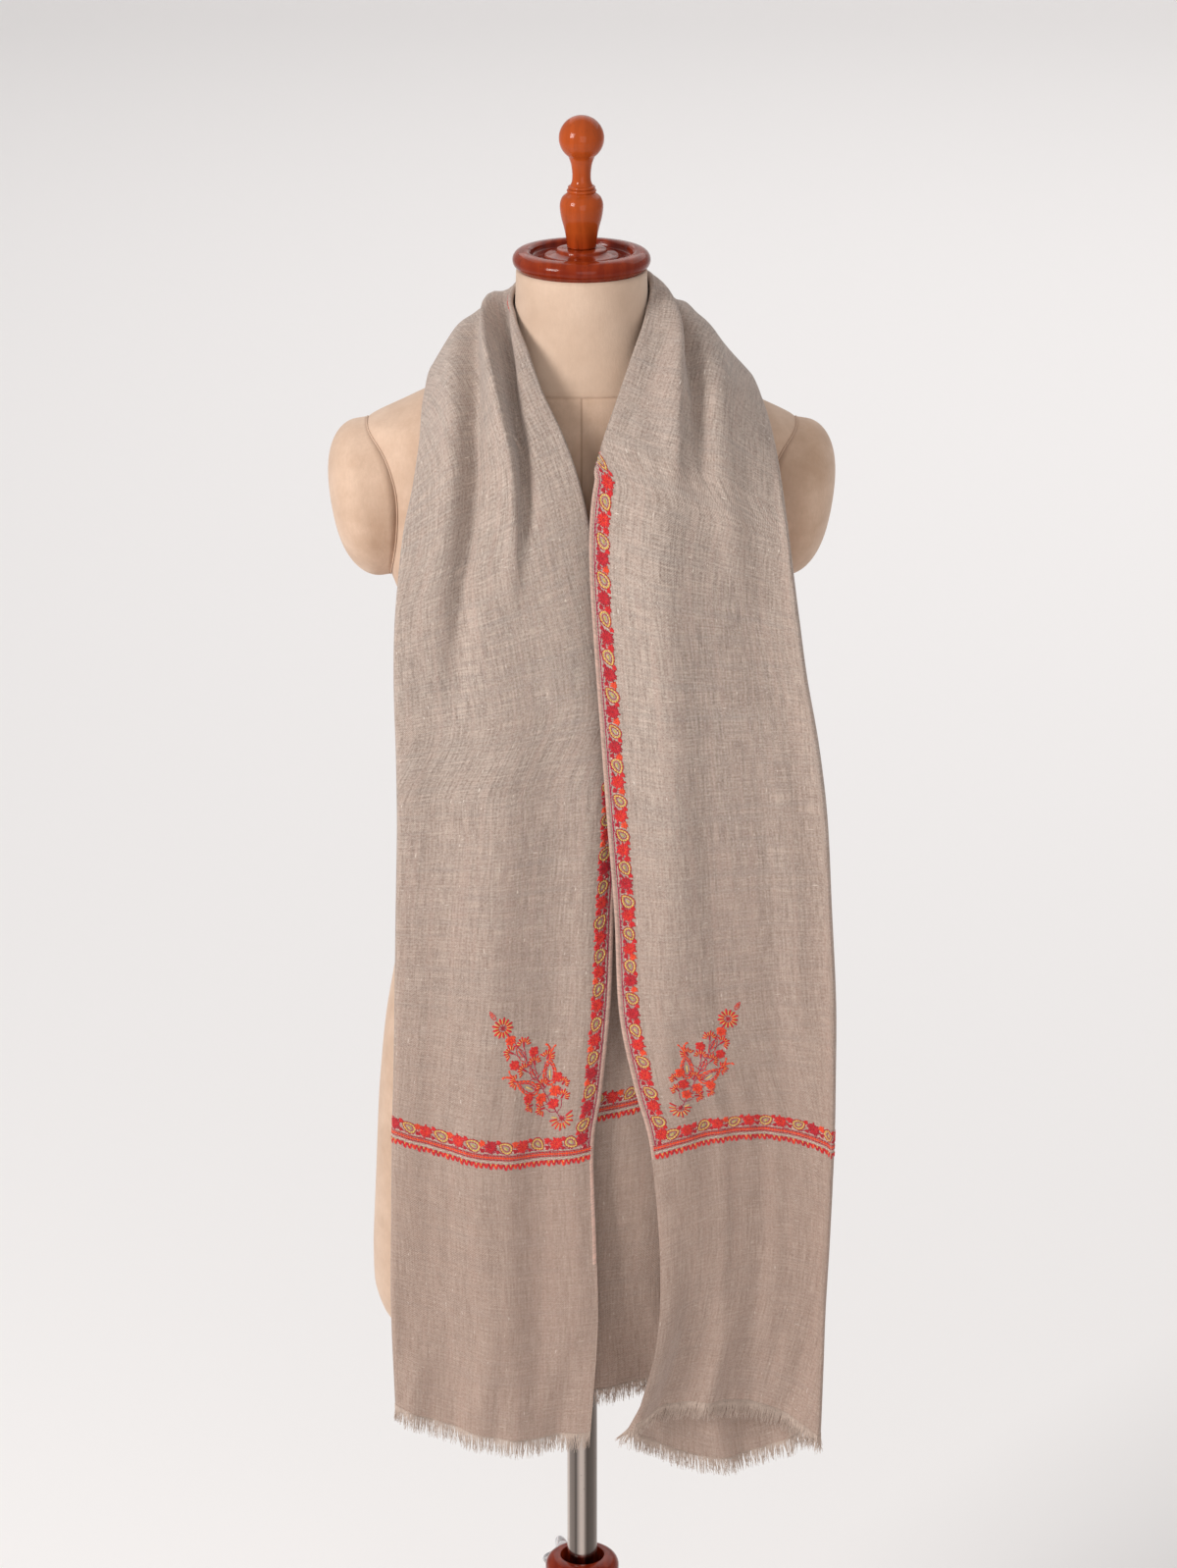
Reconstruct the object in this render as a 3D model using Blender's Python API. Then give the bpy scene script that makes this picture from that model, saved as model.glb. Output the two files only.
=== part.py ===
"""Pashmina shawl hung round the neck of a limbless dress form on its stand.

Metres, +Z up. The origin is on the floor under the pole. The form faces -Y, so the wearer's
right side is at -X and is called left here, as someone in front of the form sees it.
The shawl is one long cloth. It lies round the neck in a bunched collar and hangs down the
front in two ends, each end folded lengthwise into three layers.
"""
import math
from collections import namedtuple

import bmesh
import bpy
import numpy as np
from mathutils import Matrix, Vector
from mathutils.bvhtree import BVHTree

MM = 0.001
GAP = 0.3 * MM                 # clearance between neighbouring solids

# Driving sizes of the stand and the pole
BASE_RADIUS = 190 * MM
BASE_HEIGHT = 24 * MM
POST_TOP = 298 * MM
POLE_RADIUS = 13 * MM
POLE_FOOT = 110 * MM           # lower end of the pole inside the post's bore
SOCKET_DEPTH = 45 * MM         # how far the pole reaches into the form
KNOB_HEIGHT = 272 * MM
KNOB_BEARING = math.radians(108)   # direction of the clamp screw, turned from +X towards +Y
KNOB_SEAT = 40 * MM            # distance of the knob's back from the pole's axis
KNOB_RADIUS = 21 * MM
KNOB_LOBES = 5
STEM_RADIUS = 3 * MM
BORE_RADIUS = POLE_RADIUS + GAP
BORE_FOOT = 34 * MM            # floor of the post's bore

# Driving sizes of the dress form
FORM_FOOT = 527 * MM
NECK_TOP = 1443 * MM
CAP_DEPTH = 31 * MM            # how far an arm cap stands out of its armhole
DISC_RADIUS = 55 * MM
FINIAL_TOP = 1566 * MM

# Driving sizes of the shawl
CLOTH = 1.6 * MM               # thickness of a cloth wall
CLOTH_CLEAR = 2.6 * MM         # least height of a wall's middle over the form
FRINGE = 11 * MM               # length of the frayed ends
OUTER_TURN = 5.5 * MM          # bend radius where an end folds back at its outer side
INNER_TURN = 4.0 * MM          # bend radius where the folded layer turns back again
ROUND_SIDES = 24

Ring = namedtuple("Ring", "z half_width front back")
FORM_RINGS = [
    # z, half width, reach to the front, reach to the back (mm)
    Ring(527, 150, 80, 84),
    Ring(536, 168, 91, 97),
    Ring(562, 177, 95, 104),
    Ring(600, 178, 96, 108),
    Ring(660, 175, 96, 110),
    Ring(740, 171, 94, 108),
    Ring(810, 164, 92, 101),
    Ring(880, 151, 88, 91),
    Ring(950, 134, 82, 80),
    Ring(1010, 125, 80, 74),
    Ring(1070, 129, 87, 76),
    Ring(1125, 137, 99, 82),
    Ring(1170, 146, 105, 87),
    Ring(1205, 158, 106, 90),
    Ring(1245, 167, 102, 91),
    Ring(1285, 174, 92, 89),
    Ring(1312, 177, 80, 83),
    Ring(1322, 171, 74, 79),
    Ring(1336, 142, 67, 73),
    Ring(1350, 113, 62, 68),
    Ring(1366, 83, 58, 63),
    Ring(1382, 63, 54, 58),
    Ring(1402, 54, 51, 54),
    Ring(1443, 52, 51, 52),
]

Drape = namedtuple("Drape", "in_x in_y in_z out_x out_y out_z crown sag")
# The front layer of each end, one row for each cross section from the nape to the hem (mm).
# "in" is the embroidered edge beside the neck and the middle, "out" the fold at the side,
# "crown" how far the layer swells outwards, "sag" how far its middle hangs above (+) or
# below (-) the straight line.
LEFT_FRONT = [
    Drape(0, 63, 1436, 0, 102, 1318, 8, 0),
    Drape(-30, 57, 1435, -58, 98, 1318, 8, 0),
    Drape(-50, 36, 1430, -98, 74, 1336, 6, 0),
    Drape(-59, 6, 1421, -121, 20, 1360, 4, 0),
    Drape(-56, -24, 1411, -128, -35, 1347, 4, 0),
    Drape(-45, -62, 1391, -130, -77, 1320, 5, 0),
    Drape(-33, -86, 1364, -134, -104, 1292, 6, 0),
    Drape(-16, -105, 1332, -140, -120, 1262, 6, 0),
    Drape(-3, -117, 1296, -144, -130, 1225, 6, 0),
    Drape(8, -125, 1248, -147, -136, 1185, 6, 0),
    Drape(22, -129, 1180, -148, -138, 1135, 5, 0),
    Drape(31, -130, 1105, -147, -139, 1080, 5, 0),
    Drape(32, -130, 1035, -147, -139, 1020, 4, 0),
    Drape(27, -130, 955, -149, -138, 950, 4, 0),
    Drape(24, -131, 870, -151, -137, 875, 3, -2),
    Drape(17, -133, 790, -153, -136, 805, 3, -6),
    Drape(10, -135, 739, -155, -135, 756, 2, -11),
    Drape(12, -136, 650, -157, -134, 670, 1, -12),
    Drape(13, -137, 575, -158, -134, 598, 0, -12),
    Drape(7, -137, 481, -156, -134, 507, 0, -13),
]
RIGHT_FRONT = [
    Drape(0, 63, 1436, 0, 102, 1318, 8, 0),
    Drape(30, 57, 1437, 60, 98, 1318, 8, 0),
    Drape(51, 36, 1436, 108, 74, 1338, 6, 0),
    Drape(59, 6, 1429, 135, 18, 1355, 4, 0),
    Drape(54, -26, 1413, 147, -34, 1343, 5, 0),
    Drape(43, -62, 1389, 154, -76, 1322, 6, 0),
    Drape(30, -90, 1358, 158, -104, 1298, 6, 0),
    Drape(17, -113, 1325, 162, -122, 1268, 8, 0),
    Drape(8, -128, 1290, 166, -131, 1235, 6, 0),
    Drape(6, -136, 1240, 171, -137, 1195, 4, 0),
    Drape(10, -139, 1170, 178, -139, 1145, 1, 0),
    Drape(15, -140, 1100, 188, -139, 1090, -1, 0),
    Drape(20, -140, 1030, 196, -138, 1028, -3, 0),
    Drape(26, -140, 950, 201, -137, 950, -4, 0),
    Drape(30, -141, 865, 206, -136, 868, -5, 2),
    Drape(42, -142, 803, 207, -135, 800, -5, 5),
    Drape(55, -143, 750, 207, -134, 742, -5, 12),
    Drape(63, -144, 655, 205, -133, 660, -4, 13),
    Drape(60, -144, 580, 202, -132, 580, -3, 15),
    Drape(50, -143, 503, 200, -132, 480, -2, 21),
]

Fold = namedtuple("Fold", "row turn_x turn_y turn_z end_x end_y end_z sag")
# The two layers folded behind, from the row of the front table where they start to the hem.
# "turn" is the second fold, "end" the far long edge of the cloth.
LEFT_FOLD = [
    Fold(3, -90, 10, 1377, -113, 19, 1350, 0),
    Fold(4, -88, -30, 1374, -117, -34, 1344, 0),
    Fold(5, -74, -68, 1352, -118, -71, 1316, 0),
    Fold(6, -52, -91, 1330, -122, -94, 1286, 0),
    Fold(7, -30, -105, 1300, -126, -108, 1258, 0),
    Fold(8, -10, -114, 1266, -130, -115, 1222, 0),
    Fold(9, 2, -117, 1222, -133, -119, 1183, 0),
    Fold(10, 18, -118, 1160, -134, -121, 1134, 0),
    Fold(11, 27, -118, 1095, -134, -121, 1080, 0),
    Fold(12, 34, -117, 1026, -134, -120, 1020, 0),
    Fold(13, 44, -116, 955, -136, -119, 950, 0),
    Fold(14, 54, -115, 886, -138, -118, 876, 0),
    Fold(15, 64, -115, 822, -140, -117, 806, 0),
    Fold(16, 70, -115, 780, -142, -117, 757, -10),
    Fold(17, 77, -115, 688, -143, -116, 671, -10),
    Fold(18, 70, -115, 612, -143, -116, 600, -10),
    Fold(19, 42, -114, 520, -142, -116, 510, -8),
]
RIGHT_FOLD = [
    Fold(3, 68, 6, 1402, 124, 18, 1344, 0),
    Fold(4, 64, -24, 1386, 132, -33, 1330, 0),
    Fold(5, 58, -62, 1365, 139, -70, 1313, 0),
    Fold(6, 52, -86, 1336, 142, -92, 1296, 0),
    Fold(7, 50, -104, 1308, 147, -106, 1266, 0),
    Fold(8, 48, -119, 1275, 151, -116, 1234, 0),
    Fold(9, 47, -124, 1230, 156, -121, 1195, 0),
    Fold(10, 48, -126, 1164, 163, -118, 1145, 0),
    Fold(11, 54, -127, 1096, 172, -117, 1090, 0),
    Fold(12, 56, -127, 1028, 179, -115, 1028, 0),
    Fold(13, 60, -127, 950, 184, -113, 950, 0),
    Fold(14, 66, -127, 868, 188, -112, 868, -3),
    Fold(15, 78, -127, 803, 189, -111, 800, -10),
    Fold(16, 88, -127, 745, 189, -110, 740, -18),
    Fold(17, 90, -127, 655, 187, -109, 655, -24),
    Fold(18, 70, -127, 580, 185, -109, 576, -28),
    Fold(19, 32, -127, 491, 183, -109, 476, -32),
]

Crease = namedtuple("Crease", "place first last depth width")
# Largest folds of the front layers: place across (0 at the embroidered edge, 1 at the side),
# first and last row of the table, depth outwards (mm, minus for a valley), half width (mm)
LEFT_CREASES = [
    Crease(0.30, 1.5, 8.0, -11, 8),
    Crease(0.52, 2.5, 9.5, 5, 14),
    Crease(0.74, 3.5, 10.0, -5, 12),
    Crease(0.55, 9.0, 19.9, 4, 30),
    Crease(0.25, 11.0, 19.9, -3, 22),
]
RIGHT_CREASES = [
    Crease(0.20, 1.5, 7.0, 4, 9),
    Crease(0.38, 1.0, 7.5, -8, 9),
    Crease(0.75, 2.0, 9.0, 4, 16),
    Crease(0.28, 9.0, 19.9, 6, 24),
    Crease(0.60, 10.0, 19.9, -7, 28),
]

COLLAR_ROW = 3.2               # the collar ends here on each side, at the top of the shoulder
SEAM_ROWS = 0.016              # rows left free between the collar and a front layer
FOLD_START = 3.3               # the layers behind start at this row of the front tables
FRONT_STEPS = 11               # panels across a front layer
CLOTH_STEP = 58 * MM           # panel length along the hanging ends
SHOULDER_STEP = 24 * MM        # panel length round the neck and over the shoulders
SHOULDER_END = 8               # row where the panels become longer


def material(name, color, roughness, metallic=0.0, coat=0.0):
    mat = bpy.data.materials.new(name)
    mat.use_nodes = True
    shader = mat.node_tree.nodes["Principled BSDF"]
    shader.inputs["Base Color"].default_value = (*color, 1.0)
    shader.inputs["Roughness"].default_value = roughness
    shader.inputs["Metallic"].default_value = metallic
    shader.inputs["Coat Weight"].default_value = coat
    return mat


def add_object(name, mesh, mat, smooth_angle=35):
    obj = bpy.data.objects.new(name, mesh)
    bpy.context.scene.collection.objects.link(obj)
    mesh.materials.append(mat)
    mesh.shade_smooth()
    mesh.set_sharp_from_angle(angle=math.radians(smooth_angle))
    return obj


def mesh_from(name, points, faces):
    """A mesh with its normals turned outwards."""
    mesh = bpy.data.meshes.new(name)
    mesh.from_pydata([tuple(p) for p in points], [], faces)
    bm = bmesh.new()
    bm.from_mesh(mesh)
    bmesh.ops.recalc_face_normals(bm, faces=bm.faces[:])
    bm.to_mesh(mesh)
    bm.free()
    return mesh


def subtract(obj, cutter_mesh, name):
    """Cut a closed mesh out of an object with a live Boolean."""
    cutter = bpy.data.objects.new(name, cutter_mesh)
    bpy.context.scene.collection.objects.link(cutter)
    cutter.hide_render = True
    cutter.display_type = "WIRE"
    cut = obj.modifiers.new(name, "BOOLEAN")
    cut.operation = "DIFFERENCE"
    cut.solver = "EXACT"
    cut.object = cutter


# ---- turned and lofted pieces -----------------------------------------------------------

def turned(name, profile, sides=ROUND_SIDES):
    """Closed solid of revolution about Z from (radius, z) pairs given from top to bottom.

    A profile that starts and ends on the axis is solid, and any other closes on itself, as a
    ring or a tube does.
    """
    angles = np.arange(sides) * 2 * math.pi / sides
    points, rings = [], []
    for radius, z in profile:
        if radius == 0:
            rings.append([len(points)])
            points.append((0, 0, z))
        else:
            rings.append(list(range(len(points), len(points) + sides)))
            points += [(radius * math.cos(a), radius * math.sin(a), z) for a in angles]
    if profile[0][0] > 0:
        rings.append(rings[0])
    faces = []
    for upper, lower in zip(rings, rings[1:]):
        for i in range(sides):
            j = (i + 1) % sides
            corners = [upper[i % len(upper)], lower[i % len(lower)],
                       lower[j % len(lower)], upper[j % len(upper)]]
            faces.append(list(dict.fromkeys(corners)))
    return mesh_from(name, points, faces)


def arc(centre_r, centre_z, radius, first_deg, last_deg, steps):
    """Points of an arc in a turned profile, angles from +radius towards +Z."""
    angles = np.radians(np.linspace(first_deg, last_deg, steps + 1))
    return [(centre_r + radius * math.cos(a), centre_z + radius * math.sin(a)) for a in angles]


def form_ring(ring, sides):
    """One horizontal section: an ellipse with its own reach to the front and to the back."""
    a = np.arange(sides) * 2 * math.pi / sides
    depth = np.where(np.sin(a) < 0, ring.front, ring.back)
    return np.stack([ring.half_width * np.cos(a), depth * np.sin(a),
                     np.full(sides, float(ring.z))], axis=1) * MM


def form_mesh(name, grow=0.0, sides=28):
    """The torso with its neck, closed flat below and above, or the same swelled by grow."""
    rings = []
    for ring in FORM_RINGS:
        big = ring._replace(half_width=ring.half_width + grow / MM,
                            front=ring.front + grow / MM, back=ring.back + grow / MM)
        rings.append(form_ring(big, sides))
    points = np.concatenate(rings)
    faces = [list(range(sides))[::-1]]
    for k in range(len(rings) - 1):
        low, high = k * sides, (k + 1) * sides
        for i in range(sides):
            j = (i + 1) % sides
            faces.append([low + i, low + j, high + j])
            faces.append([low + i, high + j, high + i])
    faces.append([(len(rings) - 1) * sides + i for i in range(sides)])
    return mesh_from(name, points, faces)


def cap_mesh(name, side, rings=5, sides=20):
    """A dome over an armhole: an upright oval that rounds off outwards."""
    armhole = Vector((side * 171 * MM, 0, 1256 * MM))
    half_height, half_depth, root = 65 * MM, 50 * MM, -30 * MM
    lean = math.radians(9) * side
    points = []
    for k in range(rings + 1):
        swell = k / rings * math.pi / 2 * 0.93
        out = CAP_DEPTH * math.sin(swell)
        size = math.cos(swell) ** 0.75
        for a in np.arange(sides) * 2 * math.pi / sides:
            points.append((side * out, half_depth * size * math.cos(a),
                           half_height * size * math.sin(a)))
    inner = [(side * root, y, z) for _, y, z in points[:sides]]
    points = inner + points
    faces = [list(range(sides))]
    for k in range(rings + 1):
        low, high = k * sides, (k + 1) * sides
        for i in range(sides):
            j = (i + 1) % sides
            faces.append([low + i, low + j, high + j, high + i])
    faces.append([(rings + 1) * sides + i for i in range(sides)])
    mesh = mesh_from(name, points, faces)
    mesh.transform(Matrix.Translation(armhole) @ Matrix.Rotation(lean, 4, "Y"))
    return mesh


def knob_mesh(name):
    """Lobed hand knob and its screw, along local +Z with the knob's back at the origin."""
    sides, thick = 40, 11 * MM
    a = np.arange(sides) * 2 * math.pi / sides
    radius = KNOB_RADIUS * (0.76 + 0.24 * np.cos(KNOB_LOBES * a))
    levels = [(0.0, 0.86), (1.5 * MM, 1.0), (thick - 2 * MM, 1.0), (thick, 0.84)]
    points = []
    stem_length = KNOB_SEAT - POLE_RADIUS - GAP
    for z in (-stem_length, 0.0):
        points += [(STEM_RADIUS * math.cos(t), STEM_RADIUS * math.sin(t), z) for t in a]
    for z, size in levels:
        points += [(r * size * math.cos(t), r * size * math.sin(t), z) for r, t in zip(radius, a)]
    faces = [list(range(sides))]
    for k in range(len(points) // sides - 1):
        low, high = k * sides, (k + 1) * sides
        for i in range(sides):
            j = (i + 1) % sides
            faces.append([low + i, low + j, high + j, high + i])
    faces.append([len(points) - sides + i for i in range(sides)])
    return mesh_from(name, points, faces)


# ---- the shawl --------------------------------------------------------------------------

def smooth_rows(rows, at):
    """Catmull-Rom curve through table rows, read at the row numbers in at."""
    rows = np.asarray(rows, float)
    last = len(rows) - 1
    padded = np.vstack([2 * rows[0] - rows[1], rows, 2 * rows[-1] - rows[-2]])
    at = np.clip(np.asarray(at, float), 0, last)
    k = np.minimum(at.astype(int), last - 1)
    f = (at - k)[:, None]
    a, b, c, d = padded[k], padded[k + 1], padded[k + 2], padded[k + 3]
    return 0.5 * (2 * b + (c - a) * f + (2 * a - 5 * b + 4 * c - d) * f ** 2
                  + (3 * b - a - 3 * c + d) * f ** 3)


def unit(vectors):
    return vectors / np.linalg.norm(vectors, axis=-1, keepdims=True)


def swell_of(table, creases, rows, t, width):
    """How far a front layer stands out of its flat section, at places t across (0 to 1)."""
    rows = np.asarray(rows)
    crown = smooth_rows(table, rows)[:, 6] * MM
    swell = crown[:, None] * 4 * t * (1 - t)
    for c in creases:
        reach = np.clip((rows - c.first) / (c.last - c.first), 0, 1)
        runs_out = c.last < len(table) - 1
        near = np.sin(math.pi * reach) ** 0.7 if runs_out else np.sin(math.pi / 2 * reach)
        off = (t - c.place) * width[:, None] / (c.width * MM)
        swell = swell + c.depth * MM * near[:, None] * np.exp(-off ** 2)
    return swell


def front_layer(table, creases, rows, across, side):
    """Middle surface of a front layer at some rows, and the frame that its folds need."""
    rows = np.asarray(rows)
    values = smooth_rows(table, rows)
    inner, outer, sag = values[:, 0:3] * MM, values[:, 3:6] * MM, values[:, 7] * MM
    step = 0.05
    change = smooth_rows(table, rows + step) - smooth_rows(table, rows - step)
    run = unit(change[:, 0:3] + change[:, 3:6])
    over = unit(outer - inner)
    out = unit(np.cross(run, over)) * side
    width = np.linalg.norm(outer - inner, axis=1) - OUTER_TURN
    t = np.asarray(across)[None, :]
    swell = swell_of(table, creases, rows, t, width)
    points = inner[:, None] + over[:, None] * (t * width[:, None])[..., None]
    points = points + out[:, None] * swell[..., None]
    points[..., 2] += sag[:, None] * 4 * t * (1 - t)
    return points, over, out, outer, width


def turn_points(centre, forward, sideways, radius, angles):
    """Points of a fold: from straight forward of its centre, round sideways, to behind it."""
    a = np.radians(angles)[None, :, None]
    return centre[:, None] + radius * (forward[:, None] * np.cos(a) + sideways[:, None] * np.sin(a))


def fold_layers(front, fold, creases, rows, side, steps=8):
    """Middle surface of the two layers behind: side fold, layer, second fold, layer."""
    _, over, out, outer, width = front_layer(front, creases, rows, [0, 1], side)
    centre = outer - over * OUTER_TURN - out * OUTER_TURN
    values = smooth_rows([f[1:] for f in fold], np.asarray(rows) - fold[0].row)
    turn, end, sag = values[:, 0:3] * MM, values[:, 3:6] * MM, values[:, 6] * MM
    start_gap = math.degrees(1.6 * GAP / OUTER_TURN)
    first = turn_points(centre, out, over, OUTER_TURN, np.linspace(90 + start_gap, 180, 3))
    reach = np.linalg.norm(turn - centre, axis=1)[:, None]

    def nested(share):
        """Swell of the front layer at a share of the way from the side fold to the second."""
        place = np.clip(1 - share * reach / width[:, None], 0, 1)
        return swell_of(front, creases, rows, place, width)

    at_turn = nested(np.ones((1, 1)))
    turn = turn + out * at_turn
    inward = unit(turn - centre)
    second_centre = turn - inward * INNER_TURN
    second = turn_points(second_centre, out, inward, INNER_TURN, np.linspace(0, 180, 4))
    t = np.linspace(0, 1, steps + 1)[None, 1:-1]
    middle = first[:, -1:] * (1 - t[..., None]) + second[:, :1] * t[..., None]
    middle = middle + out[:, None] * (nested(t) - t * at_turn)[..., None]
    middle[..., 2] += sag[:, None] * 4 * t * (1 - t)
    t = np.linspace(0, 1, steps)[None, 1:]
    last = second[:, -1:] * (1 - t[..., None]) + end[:, None] * t[..., None]
    follow = nested(1 - t) * (1 - 0.5 * t) - (1 - t) * at_turn
    last = last + out[:, None] * follow[..., None]
    return np.concatenate([first, middle, second, last], axis=1)


def clear_of_form(points, tree):
    """Lift every point that lies closer to the form than the cloth's clearance."""
    shape = points.shape
    lifted = []
    for p in points.reshape(-1, 3):
        near, normal, _, _ = tree.find_nearest(Vector(p))
        height = (Vector(p) - near).dot(normal)
        lifted.append(near + normal * CLOTH_CLEAR if height < CLOTH_CLEAR else Vector(p))
    return np.array(lifted).reshape(shape)


def wall(name, grid):
    """Closed cloth wall around a grid of points of its middle surface."""
    ends = 2 if len(grid) > 2 else 1
    along = np.gradient(grid, axis=0, edge_order=ends)
    across = np.gradient(grid, axis=1, edge_order=2)
    normal = unit(np.cross(along, across))
    rows, cols = grid.shape[:2]
    points = np.concatenate([(grid + normal * CLOTH / 2).reshape(-1, 3),
                             (grid - normal * CLOTH / 2).reshape(-1, 3)])
    index = np.arange(rows * cols).reshape(rows, cols)
    under = index + rows * cols
    faces = []
    for i in range(rows - 1):
        for j in range(cols - 1):
            faces.append([index[i, j], index[i + 1, j], index[i + 1, j + 1], index[i, j + 1]])
            faces.append([under[i, j], under[i, j + 1], under[i + 1, j + 1], under[i + 1, j]])
    rim = list(index[0]) + list(index[1:, -1]) + list(index[-1, -2::-1]) + list(index[-2:0:-1, 0])
    for a, b in zip(rim, rim[1:] + rim[:1]):
        faces.append([a, b, b + rows * cols, a + rows * cols])
    return mesh_from(name, points, [[int(v) for v in f] for f in faces])


def station_rows(table, first, last):
    """Row numbers one panel length apart along a front layer, closer over the shoulder."""
    fine = np.linspace(first, last, 400)
    values = smooth_rows(table, fine)
    middle = (values[:, 0:3] + values[:, 3:6]) / 2 * MM
    lengths = np.linalg.norm(np.diff(middle, axis=0), axis=1)
    panels = lengths / np.where(fine[1:] < SHOULDER_END, SHOULDER_STEP, CLOTH_STEP)
    count = np.concatenate([[0], np.cumsum(panels)])
    return np.interp(np.linspace(0, count[-1], max(2, round(count[-1])) + 1), count, fine)


def side_turn(grid, over, out, outer, width):
    """Add the first quarter of the side fold to a front layer."""
    centre = outer - over * OUTER_TURN - out * OUTER_TURN
    quarter = turn_points(centre, out, over, OUTER_TURN, [45, 90])
    return np.concatenate([grid, quarter], axis=1)


def hem_strip(grid):
    """A strip that hangs a fringe's length below the last section of a layer."""
    down = unit((grid[-1] - grid[-2]).mean(axis=0))
    return np.stack([grid[-1] + down * FRINGE, grid[-1] + down * GAP])


def build_shawl(cloth, fringe, tree):
    across = np.linspace(0, 1, FRONT_STEPS + 1)
    collars = []
    for label, side, front, fold, creases in (
            ("left", -1, LEFT_FRONT, LEFT_FOLD, LEFT_CREASES),
            ("right", 1, RIGHT_FRONT, RIGHT_FOLD, RIGHT_CREASES)):
        hem = len(front) - 1
        layer = front_layer(front, creases, station_rows(front, 0, COLLAR_ROW), across, side)
        collars.append(side_turn(*layer))
        rows = station_rows(front, COLLAR_ROW + SEAM_ROWS, hem)
        grid = side_turn(*front_layer(front, creases, rows, across, side))
        add_object(f"shawl_{label}_front", wall(f"shawl_{label}_front", clear_of_form(grid, tree)),
                   cloth)
        add_object(f"fringe_{label}_front", wall(f"fringe_{label}_front", hem_strip(grid)), fringe)
        grid = fold_layers(front, fold, creases, rows[rows >= FOLD_START], side)
        add_object(f"shawl_{label}_back", wall(f"shawl_{label}_back", clear_of_form(grid, tree)),
                   cloth)
        add_object(f"fringe_{label}_back", wall(f"fringe_{label}_back", hem_strip(grid[:, 1:])), fringe)
    collar = np.concatenate([collars[0][::-1], collars[1][1:]])
    add_object("shawl_collar", wall("shawl_collar", clear_of_form(collar, tree)), cloth)


# ---- the form and its stand -------------------------------------------------------------

def build_stand(wood, chrome, plastic):
    base = [(0, BASE_HEIGHT), (BASE_RADIUS - 16 * MM, BASE_HEIGHT)]
    base += arc(BASE_RADIUS - 14 * MM, BASE_HEIGHT - 14 * MM, 14 * MM, 78, 0, 4)
    base += [(BASE_RADIUS, 4 * MM), (BASE_RADIUS - 4 * MM, 0), (0, 0)]
    add_object("stand_base", turned("stand_base", base, sides=40), wood)

    foot = BASE_HEIGHT + GAP
    profile = [(0, BORE_FOOT), (BORE_RADIUS, BORE_FOOT), (BORE_RADIUS, POST_TOP - 13 * MM),
               (18 * MM, POST_TOP - 13 * MM), (18 * MM, POST_TOP - 3 * MM), (19 * MM, POST_TOP)]
    profile += arc(22 * MM, POST_TOP - 10 * MM, 10 * MM, 80, 0, 4)
    profile += [(32 * MM, POST_TOP - 52 * MM), (26 * MM, POST_TOP - 60 * MM),
                (23 * MM, POST_TOP - 110 * MM), (27 * MM, POST_TOP - 170 * MM),
                (34 * MM, POST_TOP - 205 * MM), (31 * MM, POST_TOP - 222 * MM),
                (38 * MM, POST_TOP - 230 * MM), (52 * MM, foot + 14 * MM),
                (56 * MM, foot), (0, foot)]
    post_obj = add_object("stand_post", turned("stand_post", profile), wood)

    bearing = Matrix.Rotation(KNOB_BEARING, 4, "Z") @ Matrix.Rotation(math.pi / 2, 4, "Y")
    lift = Matrix.Translation((0, 0, KNOB_HEIGHT))
    hole = turned("clamp_hole", [(0, 60 * MM), (STEM_RADIUS + GAP, 60 * MM),
                                 (STEM_RADIUS + GAP, 5 * MM), (0, 5 * MM)], sides=16)
    hole.transform(lift @ bearing)
    subtract(post_obj, hole, "clamp_hole")
    knob = knob_mesh("clamp_knob")
    knob.transform(Matrix.Translation((0, 0, KNOB_SEAT)))
    knob.transform(bearing)
    knob_obj = add_object("clamp_knob", knob, plastic)
    knob_obj.location = (0, 0, KNOB_HEIGHT)

    pole_top = FORM_FOOT + SOCKET_DEPTH - GAP
    pole = [(0, pole_top), (POLE_RADIUS, pole_top), (POLE_RADIUS, POLE_FOOT), (0, POLE_FOOT)]
    add_object("pole", turned("pole", pole), chrome)


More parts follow.
